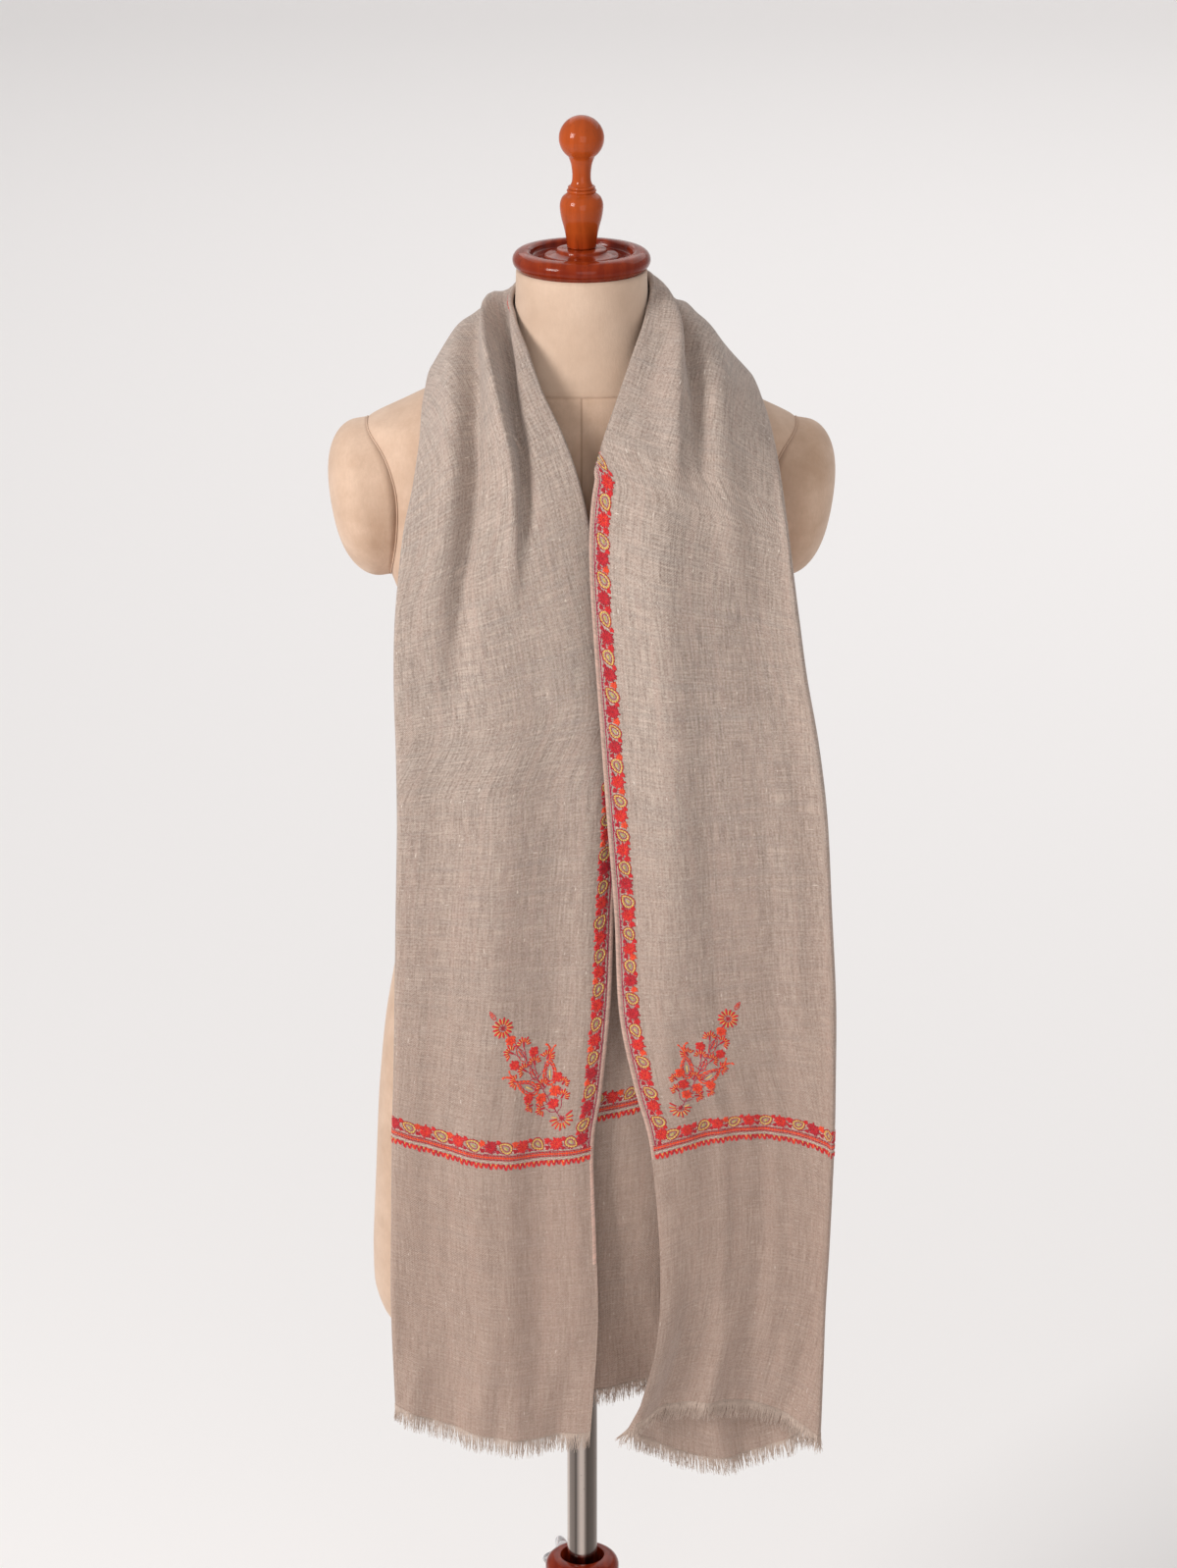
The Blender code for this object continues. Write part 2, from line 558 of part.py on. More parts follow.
def build_form(linen, wood):
    body = add_object("form_body", form_mesh("form_body"), linen)
    socket = turned("pole_socket", [(0, FORM_FOOT + SOCKET_DEPTH),
                                    (BORE_RADIUS, FORM_FOOT + SOCKET_DEPTH),
                                    (BORE_RADIUS, FORM_FOOT - 30 * MM),
                                    (0, FORM_FOOT - 30 * MM)])
    subtract(body, socket, "pole_socket")
    for label, side in (("left", -1), ("right", 1)):
        cap = add_object(f"cap_{label}", cap_mesh(f"cap_{label}", side), linen)
        subtract(cap, form_mesh(f"armhole_{label}", grow=2 * GAP), f"armhole_{label}")

    seat = NECK_TOP + GAP
    disc = [(0, seat + 17 * MM), (17 * MM, seat + 17 * MM), (20 * MM, seat + 14 * MM),
            (29 * MM, seat + 12 * MM), (33 * MM, seat + 9 * MM), (39 * MM, seat + 9 * MM),
            (42 * MM, seat + 15 * MM)]
    disc += arc(DISC_RADIUS - 10 * MM, seat + 8 * MM, 10 * MM, 75, -38, 6)
    disc += [(DISC_RADIUS - 4 * MM, seat), (0, seat)]
    add_object("neck_disc", turned("neck_disc", disc, sides=32), wood)

    foot = seat + 17 * MM + GAP
    ball = 18 * MM
    finial = arc(0, FINIAL_TOP - ball, ball, 90, -58, 7)
    finial[0] = (0, FINIAL_TOP)
    finial += [(8.5 * MM, foot + 67 * MM), (7.5 * MM, foot + 57 * MM), (8.5 * MM, foot + 50 * MM),
               (12 * MM, foot + 43 * MM), (15.5 * MM, foot + 40 * MM), (17 * MM, foot + 33 * MM),
               (15.5 * MM, foot + 22 * MM), (12.5 * MM, foot + 10 * MM), (11.5 * MM, foot),
               (0, foot)]
    add_object("finial", turned("finial", finial), wood)


def main():
    for obj in list(bpy.data.objects):
        bpy.data.objects.remove(obj, do_unlink=True)
    wood = material("mahogany", (0.23, 0.045, 0.018), 0.25, coat=0.6)
    chrome = material("chrome", (0.72, 0.71, 0.70), 0.12, metallic=1.0)
    plastic = material("clear_plastic", (0.86, 0.85, 0.85), 0.2)
    linen = material("form_cloth", (0.56, 0.44, 0.33), 0.85)
    cloth = material("pashmina", (0.36, 0.29, 0.25), 0.9)
    fringe = material("fringe", (0.46, 0.38, 0.33), 0.95)
    build_stand(wood, chrome, plastic)
    build_form(linen, wood)
    tree_mesh = form_mesh("clearance_form")
    tree = BVHTree.FromPolygons([v.co for v in tree_mesh.vertices],
                                [list(p.vertices) for p in tree_mesh.polygons])
    build_shawl(cloth, fringe, tree)


main()
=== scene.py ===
import math
from collections import namedtuple

import bmesh
import bpy
import numpy as np
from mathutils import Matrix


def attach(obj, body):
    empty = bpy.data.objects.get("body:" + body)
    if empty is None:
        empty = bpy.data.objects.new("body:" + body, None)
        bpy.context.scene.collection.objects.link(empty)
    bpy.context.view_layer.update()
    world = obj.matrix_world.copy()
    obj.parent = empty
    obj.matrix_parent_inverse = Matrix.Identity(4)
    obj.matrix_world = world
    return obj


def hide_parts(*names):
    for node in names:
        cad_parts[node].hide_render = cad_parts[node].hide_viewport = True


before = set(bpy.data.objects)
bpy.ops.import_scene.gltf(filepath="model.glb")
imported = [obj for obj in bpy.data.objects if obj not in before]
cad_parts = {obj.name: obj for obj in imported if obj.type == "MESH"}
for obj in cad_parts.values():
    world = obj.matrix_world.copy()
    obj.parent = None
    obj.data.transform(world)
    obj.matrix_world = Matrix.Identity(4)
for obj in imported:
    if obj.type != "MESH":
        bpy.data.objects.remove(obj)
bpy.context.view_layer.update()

scene = bpy.context.scene
scene.view_settings.view_transform = "Standard"
MM = 0.001
rng = np.random.default_rng(11)


# ---- studio ------------------------------------------------------------------------------
# A pale paper sweep: level floor, a wide bend and an upright wall behind, lit by one large
# soft light from the upper left, a weaker one from the front, one on the wall and a pale room.

def node(tree, kind, sockets=None, **settings):
    """Add a shader node, set its settings, and set or link its sockets."""
    made = tree.nodes.new(kind)
    for key, value in settings.items():
        setattr(made, key, value)
    for key, value in (sockets or {}).items():
        if isinstance(value, bpy.types.NodeSocket):
            tree.links.new(value, made.inputs[key])
        else:
            made.inputs[key].default_value = value
    return made


def finish(name, color, roughness, **sockets):
    """A material with its Principled shader set, and the tree to add the detail to."""
    mat = bpy.data.materials.new(name)
    mat.use_nodes = True
    tree = mat.node_tree
    shader = tree.nodes["Principled BSDF"]
    shader.inputs["Base Color"].default_value = (*color, 1)
    shader.inputs["Roughness"].default_value = roughness
    for key, value in sockets.items():
        shader.inputs[key.replace("_", " ")].default_value = value
    return mat, tree, shader


def object_place(tree):
    """The object's own coordinates."""
    return node(tree, "ShaderNodeTexCoord").outputs["Object"]


def part_of(tree, place, axis):
    """One number of a coordinate: 0 for x, 1 for y, 2 for z."""
    return node(tree, "ShaderNodeSeparateXYZ", {"Vector": place}).outputs[axis]


def blend(tree, factor, first, second, kind="MIX"):
    """Colour between two colours, each a socket or three numbers."""
    mixer = tree.nodes.new("ShaderNodeMix")
    mixer.data_type = "RGBA"
    mixer.blend_type = kind
    for index, value in ((0, factor), (6, first), (7, second)):
        if isinstance(value, bpy.types.NodeSocket):
            tree.links.new(value, mixer.inputs[index])
        else:
            mixer.inputs[index].default_value = value if index == 0 else (*value, 1)
    return mixer.outputs[2]


def noise(tree, where, scale, detail=2.0, roughness=0.5, stretch=(1, 1, 1)):
    """Noise value on a coordinate stretched by three factors."""
    mapped = node(tree, "ShaderNodeMapping", {"Vector": where, "Scale": stretch})
    return node(tree, "ShaderNodeTexNoise",
                {"Vector": mapped.outputs[0], "Scale": scale, "Detail": detail,
                 "Roughness": roughness}).outputs["Fac"]


def spread(tree, value, low, high, to_low=0.0, to_high=1.0):
    """A value's range low to high laid out over to_low to to_high, held at both ends."""
    return node(tree, "ShaderNodeMapRange",
                {"Value": value, "From Min": low, "From Max": high, "To Min": to_low,
                 "To Max": to_high}).outputs[0]


def wash(tree, tint, value, low, high, strength, color):
    """A tint with a colour laid over it, from none where a value is low to a strength at high."""
    return blend(tree, spread(tree, value, low, high, 0, strength), tint, color)


def math_of(tree, operation, first, second=0.0):
    return node(tree, "ShaderNodeMath", {0: first, 1: second}, operation=operation).outputs[0]


def relief(tree, shader, height, strength, distance):
    bump = node(tree, "ShaderNodeBump", {"Height": height, "Strength": strength,
                                         "Distance": distance})
    tree.links.new(bump.outputs[0], shader.inputs["Normal"])


def mesh_object(name, points, faces, mat, smooth=True):
    """Object at the origin with its place in its mesh."""
    mesh = bpy.data.meshes.new(name)
    mesh.from_pydata(np.asarray(points).reshape(-1, 3).tolist(), [], faces)
    if smooth:
        mesh.shade_smooth()
    mesh.materials.append(mat)
    obj = bpy.data.objects.new(name, mesh)
    scene.collection.objects.link(obj)
    return obj


def grid_faces(rows, cols, around=False, first=0):
    """Quads of a grid of rows by columns, closed from the last column to the first or not."""
    across = cols if around else cols - 1
    i, j = np.meshgrid(np.arange(rows - 1), np.arange(across), indexing="ij")
    k = (j + 1) % cols
    quads = np.stack([i * cols + j, i * cols + k, (i + 1) * cols + k, (i + 1) * cols + j], axis=-1)
    return (quads.reshape(-1, 4) + first).tolist()


SWEEP_WIDTH = 34.0
SWEEP_FRONT, SWEEP_BACK, SWEEP_BEND, SWEEP_TOP = -17.0, 9.6, 2.4, 8.0
bend = np.linspace(-math.pi / 2, 0, 24)
sweep_y = np.concatenate([[SWEEP_FRONT], SWEEP_BACK + SWEEP_BEND * np.cos(bend),
                          [SWEEP_BACK + SWEEP_BEND]])
sweep_z = np.concatenate([[0], SWEEP_BEND + SWEEP_BEND * np.sin(bend), [SWEEP_TOP]])
sweep = np.stack([np.stack([np.full_like(sweep_y, x), sweep_y, sweep_z], axis=1)
                  for x in (SWEEP_WIDTH / 2, -SWEEP_WIDTH / 2)])
paper = finish("paper", (0.91, 0.895, 0.89), 0.95, Specular_IOR_Level=0.1)[0]
floor = mesh_object("studio_sweep", sweep, grid_faces(2, len(sweep_y)), paper)

camera_data = bpy.data.cameras.new("camera")
camera_data.sensor_fit = "VERTICAL"
camera_data.sensor_height = 36
camera_data.lens = 106
camera = bpy.data.objects.new("camera", camera_data)
camera.location = (0.0055, -3.6, 2.25)
camera.rotation_euler = (math.radians(90 - 19), 0, 0)
scene.collection.objects.link(camera)
scene.camera = camera


def soft_light(name, place, aim, size, power, color):
    """Square area light that faces a point."""
    data = bpy.data.lights.new(name, "AREA")
    data.size = size
    data.energy = power
    data.color = color
    lamp = bpy.data.objects.new(name, data)
    scene.collection.objects.link(lamp)
    lamp.location = place
    toward = np.array(aim) - np.array(place)
    flat = math.hypot(toward[0], toward[1])
    lamp.rotation_euler = (math.atan2(flat, -toward[2]), 0,
                           math.atan2(toward[1], toward[0]) - math.pi / 2)


soft_light("key", (-2.35, -1.9, 2.5), (0, 0, 1.05), 1.1, 74, (1, 0.985, 0.965))
soft_light("fill", (0.5, -3.9, 1.7), (0, 0, 1.0), 2.2, 25, (1, 0.96, 0.93))
soft_light("backdrop", (1.6, 5.6, 4.4), (1.6, 5.61, 0), 8.4, 185, (1, 0.985, 0.98))
world = bpy.data.worlds.new("room")
world.use_nodes = True
world.node_tree.nodes["Background"].inputs["Color"].default_value = (0.95, 0.935, 0.93, 1)
world.node_tree.nodes["Background"].inputs["Strength"].default_value = 0.52
scene.world = world


# ---- torso and neck of the form -----------------------------------------------------------
# Padded shell covered in beige brushed cotton, sewn from panels: a seam down the middle of the
# front and of the back, and one round the foot of the neck. Worked out from level sections.

Ring = namedtuple("Ring", "z half_width front back")
FORM_RINGS = [
    # z, half width, reach to the front, reach to the back (mm)
    Ring(527, 150, 80, 84), Ring(536, 168, 91, 97), Ring(562, 177, 95, 104),
    Ring(600, 178, 96, 108), Ring(660, 175, 96, 110), Ring(740, 171, 94, 108),
    Ring(810, 164, 92, 101), Ring(880, 151, 88, 91), Ring(950, 134, 82, 80),
    Ring(1010, 125, 80, 74), Ring(1070, 129, 87, 76), Ring(1125, 137, 99, 82),
    Ring(1170, 146, 105, 87), Ring(1205, 158, 106, 90), Ring(1245, 167, 102, 91),
    Ring(1285, 174, 92, 89), Ring(1312, 177, 80, 83), Ring(1322, 171, 74, 79),
    Ring(1336, 142, 67, 73), Ring(1350, 113, 62, 68), Ring(1366, 83, 58, 63),
    Ring(1382, 63, 54, 58), Ring(1402, 54, 51, 54), Ring(1443, 52, 51, 52),
]
NECK_SEAM = 1354
SEAM_DEPTH, SEAM_WIDTH = 1.2, 1.3
POLE_RADIUS = 13 * MM
SOCKET_RADIUS = 13.3 * MM
SOCKET_DEPTH = 45 * MM


def smooth_rows(rows, at):
    """Catmull-Rom curve through table rows, read at the row numbers in at."""
    rows = np.asarray(rows, float)
    last = len(rows) - 1
    padded = np.vstack([2 * rows[0] - rows[1], rows, 2 * rows[-1] - rows[-2]])
    at = np.clip(np.asarray(at, float), 0, last)
    k = np.minimum(at.astype(int), last - 1)
    f = (at - k)[:, None]
    a, b, c, d = padded[k], padded[k + 1], padded[k + 2], padded[k + 3]
    return 0.5 * (2 * b + (c - a) * f + (2 * a - 5 * b + 4 * c - d) * f ** 2
                  + (3 * b - a - 3 * c + d) * f ** 3)


def sections(at):
    """Form sections at row numbers, rounded a little less than the curve so none swells."""
    smooth = smooth_rows(FORM_RINGS, at)
    plain = np.stack([np.interp(at, np.arange(len(FORM_RINGS)), column)
                      for column in np.asarray(FORM_RINGS, float).T], axis=1)
    return 0.6 * smooth + 0.4 * plain


section_rows = np.linspace(0, len(FORM_RINGS) - 1, 1500)
section_table = sections(section_rows)


def form_distance(points):
    """Height of points over the form in metres, to first order: how far the point lies outside
    the half ellipses of its level, over the slope of that measure. Also the way out."""
    def outside(p):
        z = p[..., 2] / MM
        width, front, back = (np.interp(z, section_table[:, 0], section_table[:, k])
                              for k in (1, 2, 3))
        depth = np.where(p[..., 1] < 0, front, back)
        return np.sqrt((p[..., 0] / MM / width) ** 2 + (p[..., 1] / MM / depth) ** 2) - 1
    step = 0.5 * MM
    slope = np.stack([(outside(points + e) - outside(points - e)) / (2 * step)
                      for e in np.eye(3) * step], axis=-1)
    size = np.maximum(np.linalg.norm(slope, axis=-1), 1e-6)
    return outside(points) / size, slope / size[..., None]


seam_steps = np.array([-4, -2.4, -1.5, -0.8, 0, 0.8, 1.5, 2.4, 4]) * MM / (62 * MM)
even = np.linspace(0, 2 * math.pi, 121)[:-1]
angles = np.sort(np.concatenate([even, -math.pi / 2 + seam_steps, math.pi / 2 + seam_steps])
                 % (2 * math.pi))
angles = angles[np.concatenate([[True], np.diff(angles) > 1e-4])]
seam_row = float(np.interp(NECK_SEAM, section_table[:, 0], section_rows))
levels = np.unique(np.concatenate([np.linspace(0, len(FORM_RINGS) - 1, 190),
                                   seam_row + np.linspace(-0.4, 0.4, 21)]))
levels = levels[np.concatenate([[True], np.diff(levels) > 1e-3])]
section = sections(levels)
reach = np.where(np.sin(angles)[None, :] < 0, section[:, 2:3], section[:, 3:4])
x = section[:, 1:2] * np.cos(angles)[None, :]
y = reach * np.sin(angles)[None, :]
z = np.repeat(section[:, 0:1], len(angles), axis=1)
radius = np.hypot(x, y)
seam_line = NECK_SEAM - 2.0 * np.sin(angles)[None, :] ** 2
in_seam = np.exp(-((z - seam_line) / SEAM_WIDTH) ** 2)
below_neck = np.clip((NECK_SEAM + 1 - z) / 2, 0, 1)
in_seam = np.maximum(in_seam, below_neck * np.exp(-(x / 1.1) ** 2) * 0.8)
puff = 0.25 * np.exp(-((z - seam_line) / 6) ** 2)
shrink = 1 - (SEAM_DEPTH * in_seam - puff) / radius
body = np.stack([x * shrink, y * shrink, z], axis=-1) * MM

foot, top = body[0], body[-1]
toward_pole = foot / np.hypot(foot[:, 0], foot[:, 1])[:, None]
rim = np.stack([toward_pole[:, 0] * SOCKET_RADIUS, toward_pole[:, 1] * SOCKET_RADIUS, foot[:, 2]],
               axis=1)
rounded = foot * [0.985, 0.985, 1]
inner = [rim + [0, 0, SOCKET_DEPTH], rim, (rim + 2 * rounded) / 3, rounded]
upper = [top * [0.97, 0.97, 1], top * [0.6, 0.6, 1], top * [0.1, 0.1, 1]]
shell = np.stack(inner + list(body) + upper)
count = len(angles)
faces = grid_faces(len(shell), count, around=True)
faces.append([(len(shell) - 1) * count + i for i in range(count)])
faces.append(list(range(count))[::-1])

brushed, tree, shader = finish("brushed_cotton", (0.59, 0.44, 0.335), 0.92, Sheen_Weight=0.35,
                               Sheen_Roughness=0.55, Specular_IOR_Level=0.2)
shader.inputs["Sheen Tint"].default_value = (1.0, 0.93, 0.86, 1)
place = object_place(tree)
nap = noise(tree, place, 34, 5, 0.62)
pile = noise(tree, place, 520, 3, 0.6, (1, 1, 0.35))
wear = noise(tree, place, 7, 3, 0.55)
tint = blend(tree, spread(tree, nap, 0.34, 0.68), (0.53, 0.345, 0.235), (0.68, 0.48, 0.355))
tint = wash(tree, tint, wear, 0.4, 0.72, 0.35, (0.74, 0.57, 0.45))
tint = wash(tree, tint, pile, 0.3, 0.7, 0.3, (0.50, 0.35, 0.25))
height = part_of(tree, place, 2)
tint = wash(tree, tint, height, 1.35, 1.36, 0.35, (0.72, 0.56, 0.44))
from_middle = math_of(tree, "ABSOLUTE", part_of(tree, place, 0))
stitched = math_of(tree, "MULTIPLY", spread(tree, from_middle, 0.0004, 0.0012, 0.55, 0),
                   spread(tree, height, 1.353, 1.352))
tint = blend(tree, stitched, tint, (0.33, 0.20, 0.13))
tree.links.new(tint, shader.inputs["Base Color"])
relief(tree, shader, math_of(tree, "ADD", pile, math_of(tree, "MULTIPLY", nap, 1.5)), 0.35,
       0.0006)
torso = mesh_object("torso", shell, faces, brushed)
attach(torso, "form")
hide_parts("form_body")


# ---- arm caps -----------------------------------------------------------------------------
# Padded oval covers sewn over the armholes, in the same cloth, with a thin rolled seam where
# each meets the torso. A dome whose rim runs in until it is just clear of the torso.

CAP_DEPTH = 31 * MM
CAP_HALF_HEIGHT, CAP_HALF_DEPTH = 65 * MM, 50 * MM
CAP_CENTRE = (171 * MM, 0, 1256 * MM)
CAP_LEAN = math.radians(9)
CAP_CLEAR = 0.35 * MM
CAP_SIDES = 96
PIPING = 0.55 * MM


def tube(path, radius_of, sides=10, closed=False):
    """Points of a round tube: at each path point a ring square to the path, kept untwisted by
    measuring it from the direction that turns least. Rows are rings."""
    path = np.asarray(path)
    ahead = np.roll(path, -1, axis=0) - np.roll(path, 1, axis=0)
    if not closed:
        ahead[0], ahead[-1] = path[1] - path[0], path[-1] - path[-2]
    ahead /= np.linalg.norm(ahead, axis=1)[:, None]
    mean = path.mean(axis=0)
    side = np.cross(ahead, path - mean)
    side /= np.maximum(np.linalg.norm(side, axis=1)[:, None], 1e-9)
    other = np.cross(ahead, side)
    a = np.linspace(0, 2 * math.pi, sides + 1)[:-1]
    ring = side[:, None] * np.cos(a)[None, :, None] + other[:, None] * np.sin(a)[None, :, None]
    return path[:, None] + ring * np.broadcast_to(radius_of, (len(path),))[:, None, None]


for label, hand in (("left", -1), ("right", 1)):
    around = np.linspace(0, 2 * math.pi, CAP_SIDES + 1)[:-1]
    swell = np.linspace(0, 1, 22) ** 0.85 * math.pi / 2 * 0.93
    size = np.cos(swell) ** 0.75
    dome = np.stack([np.repeat(hand * CAP_DEPTH * np.sin(swell)[:, None], CAP_SIDES, axis=1),
                     CAP_HALF_DEPTH * size[:, None] * np.cos(around)[None, :],
                     CAP_HALF_HEIGHT * size[:, None] * np.sin(around)[None, :]], axis=-1)
    lean = CAP_LEAN * hand
    turn = np.array([[math.cos(lean), 0, math.sin(lean)], [0, 1, 0],
                     [-math.sin(lean), 0, math.cos(lean)]])
    centre = np.array([hand * CAP_CENTRE[0], CAP_CENTRE[1], CAP_CENTRE[2]])
    near, far = np.full(CAP_SIDES, -60 * MM), np.zeros(CAP_SIDES)
    for _ in range(20):
        middle = (near + far) / 2
        trial = dome[0] + np.stack([hand * middle, 0 * middle, 0 * middle], axis=1)
        free = form_distance(trial @ turn.T + centre)[0] > CAP_CLEAR
        far = np.where(free, middle, far)
        near = np.where(free, near, middle)
    wall = [dome[0] + np.stack([hand * far * s, 0 * far, 0 * far], axis=1)
            for s in (1.0, 0.66, 0.33)]
    lip = dome[0] * [1, 0.96, 0.96] + np.stack([hand * (far + 0.6 * MM), 0 * far, 0 * far], axis=1)
    dome = np.concatenate([[lip], wall, dome]) @ turn.T + centre
    tip = dome[-1].mean(axis=0) + [hand * 0.9 * MM, 0, 0]
    points = np.concatenate([dome.reshape(-1, 3), [tip]])
    faces = grid_faces(len(dome), CAP_SIDES, around=True)
    last = (len(dome) - 1) * CAP_SIDES
    faces += [[last + i, last + (i + 1) % CAP_SIDES, len(points) - 1] for i in range(CAP_SIDES)]
    faces.append(list(range(CAP_SIDES))[::-1])
    if hand < 0:
        faces = [f[::-1] for f in faces]
    cap = mesh_object(f"arm_cap_{label}", points, faces, brushed)
    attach(cap, "form")
    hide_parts(f"cap_{label}")
    seam = tube(dome[1] + [hand * 0.4 * MM, 0, 0], PIPING, closed=True)
    welt_faces = grid_faces(len(seam), 10, around=True)
    welt_faces += [[(len(seam) - 1) * 10 + (i + 1) % 10, (len(seam) - 1) * 10 + i, i, (i + 1) % 10]
                   for i in range(10)]
    welt = mesh_object(f"cap_seam_{label}", seam, welt_faces, brushed)
    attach(welt, "form")


# ---- neck disc and finial -----------------------------------------------------------------
# Turned in mahogany and glossed: a dished plate with a full round rim, and a finial with a ball,
# a waist, two fine beads and an urn. Both are profiles turned round the axis.

NECK_TOP = 1443 * MM
GAP = 0.3 * MM
FINIAL_TOP = 1566 * MM


def arc(centre_r, centre_z, bend_radius, first_deg, last_deg, steps):
    a = np.radians(np.linspace(first_deg, last_deg, steps + 1))
    return np.stack([centre_r + bend_radius * np.cos(a), centre_z + bend_radius * np.sin(a)],
                    axis=1)


def eased(knots, steps=8):
    """Catmull-Rom curve through a profile's knots, for the hollows and swells of turned wood."""
    knots = np.asarray(knots, float)
    return smooth_rows(knots, np.linspace(0, len(knots) - 1, (len(knots) - 1) * steps + 1))


def turned(name, profile, mat, sides=96):
    """Surface of revolution: each point (radius, z) of a profile that runs from the top axis
    down to the bottom axis becomes a ring, and both ends close on the axis."""
    profile = np.asarray(profile, float)
    keep = np.concatenate([[True], np.linalg.norm(np.diff(profile, axis=0), axis=1) > 1e-6])
    profile = profile[keep]
    ring_rows = profile[1:-1]
    a = np.linspace(0, 2 * math.pi, sides + 1)[:-1]
    rings = np.stack([ring_rows[:, 0:1] * np.cos(a), ring_rows[:, 0:1] * np.sin(a),
                      np.repeat(ring_rows[:, 1:2], sides, axis=1)], axis=-1)
    points = np.concatenate([rings.reshape(-1, 3), [[0, 0, profile[0, 1]]],
                             [[0, 0, profile[-1, 1]]]])
    faces = [f[::-1] for f in grid_faces(len(rings), sides, around=True)]
    crown, base = len(points) - 2, len(points) - 1
    last = (len(rings) - 1) * sides
    faces += [[i, (i + 1) % sides, crown] for i in range(sides)]
    faces += [[last + (i + 1) % sides, last + i, base] for i in range(sides)]
    obj = mesh_object(name, points, faces, mat)
    obj.data.set_sharp_from_angle(angle=math.radians(50))
    return obj


mahogany, tree, shader = finish("mahogany", (0.25, 0.03, 0.01), 0.16, Coat_Weight=0.08,
                                Coat_Roughness=0.04, Specular_IOR_Level=0.16)
place = object_place(tree)
figure = noise(tree, place, 9, 4, 0.6, (1, 1, 0.14))
pores = noise(tree, place, 240, 3, 0.7, (1, 1, 0.05))
rays = node(tree, "ShaderNodeTexWave",
            {"Vector": node(tree, "ShaderNodeMapping",
                            {"Vector": place, "Rotation": (0, 0.12, 0),
                             "Scale": (1, 1, 0.12)}).outputs[0],
             "Scale": 34, "Distortion": 5.5, "Detail": 3, "Detail Scale": 1.6},
            wave_type="BANDS", bands_direction="X").outputs["Fac"]
tint = blend(tree, spread(tree, rays, 0.2, 0.85), (0.19, 0.014, 0.003), (0.30, 0.032, 0.006))
tint = wash(tree, tint, figure, 0.35, 0.7, 0.7, (0.44, 0.072, 0.012))
tint = wash(tree, tint, pores, 0.55, 0.75, 0.55, (0.06, 0.006, 0.002))
height = part_of(tree, place, 2)
# Painted light and shade: lighter and redder above the disc's rim, over the finial and the disc's top;
# darker below it, over the disc's edge, the post and the base.
tint = wash(tree, tint, height, 1.462, 1.475, 0.4, (0.54, 0.11, 0.02))
tint = wash(tree, tint, height, 1.462, 1.452, 0.6, (0.13, 0.006, 0.002))
tree.links.new(tint, shader.inputs["Base Color"])
tree.links.new(spread(tree, pores, 0.4, 0.8, 0.1, 0.22), shader.inputs["Roughness"])
relief(tree, shader, pores, 0.06, 0.0003)

seat = NECK_TOP + GAP
plate = [(0, seat + 17 * MM), (17 * MM, seat + 17 * MM), (19.5 * MM, seat + 16.2 * MM),
         (20.5 * MM, seat + 14 * MM), (24 * MM, seat + 12.8 * MM), (29 * MM, seat + 12 * MM),
         (30 * MM, seat + 11 * MM), (31 * MM, seat + 9.4 * MM), (35 * MM, seat + 8.8 * MM),
         (39 * MM, seat + 9.6 * MM), (40.2 * MM, seat + 11 * MM), (40.8 * MM, seat + 13.5 * MM)]
profile = np.concatenate([plate[:2], eased(plate[1:6], 5), eased(plate[5:], 5),
                          arc(45 * MM, seat + 10 * MM, 5.4 * MM, 140, 80, 8),
                          arc(47.4 * MM, seat + 7.6 * MM, 7.6 * MM, 75, -42, 18),
                          [(51.5 * MM, seat + 1.2 * MM), (50.5 * MM, seat), (0, seat)]])
disc = turned("neck_plate", profile, mahogany, 128)
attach(disc, "form")
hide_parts("neck_disc")

foot_z = seat + 17 * MM + GAP
ball = 18 * MM
profile = np.concatenate([
    [(0, FINIAL_TOP)], arc(0, FINIAL_TOP - ball, ball, 87, -54, 26),
    eased([(9.6 * MM, foot_z + 70.5 * MM), (8.2 * MM, foot_z + 66 * MM),
           (7.4 * MM, foot_z + 59 * MM), (7.7 * MM, foot_z + 53 * MM),
           (9.3 * MM, foot_z + 49.5 * MM)], 5),
    arc(9.6 * MM, foot_z + 48.2 * MM, 1.3 * MM, 80, -70, 6),
    arc(10.4 * MM, foot_z + 45.6 * MM, 1.4 * MM, 75, -65, 6),
    eased([(12.2 * MM, foot_z + 43.2 * MM), (15.6 * MM, foot_z + 40 * MM),
           (17.3 * MM, foot_z + 34 * MM), (16.4 * MM, foot_z + 25 * MM),
           (13.8 * MM, foot_z + 15 * MM), (12 * MM, foot_z + 6 * MM),
           (11.7 * MM, foot_z + 0.8 * MM)], 6),
    [(11 * MM, foot_z), (0, foot_z)]])
finial = turned("finial_turning", profile, mahogany)
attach(finial, "form")
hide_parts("finial")


# ---- pole ----------------------------------------------------------------------------------
# Chromed steel tube with a broken edge at both ends, faint drawing lines and a few specks. This
# studio has nothing dark to reflect: its dark and bright bands are painted reflections in its colour.

chrome, tree, shader = finish("chrome_plate", (0.62, 0.60, 0.58), 0.13, Metallic=1.0)
place = object_place(tree)
lines = noise(tree, place, 95, 3, 0.6, (1, 1, 0.004))
broad = noise(tree, place, 48, 1, 0.5, (1, 1, 0.01))
specks = noise(tree, place, 420, 2, 0.5)
# Painted reflection: a ramp across the pole's width lays dark and bright bands into its base colour,
# fixed on the object.
painted_reflection_ramp = node(tree, "ShaderNodeValToRGB",
             {"Fac": spread(tree, part_of(tree, place, 0), -POLE_RADIUS, POLE_RADIUS)})
Band = namedtuple("Band", "share_across brightness")
BANDS = [Band(0.0, 0.66), Band(0.06, 0.60), Band(0.10, 0.24), Band(0.22, 0.19), Band(0.29, 0.05),
         Band(0.35, 0.26), Band(0.46, 0.60), Band(0.54, 0.62), Band(0.60, 0.26), Band(0.66, 0.025),
         Band(0.74, 0.05), Band(0.87, 0.10), Band(1.0, 0.36)]
stops = painted_reflection_ramp.color_ramp.elements
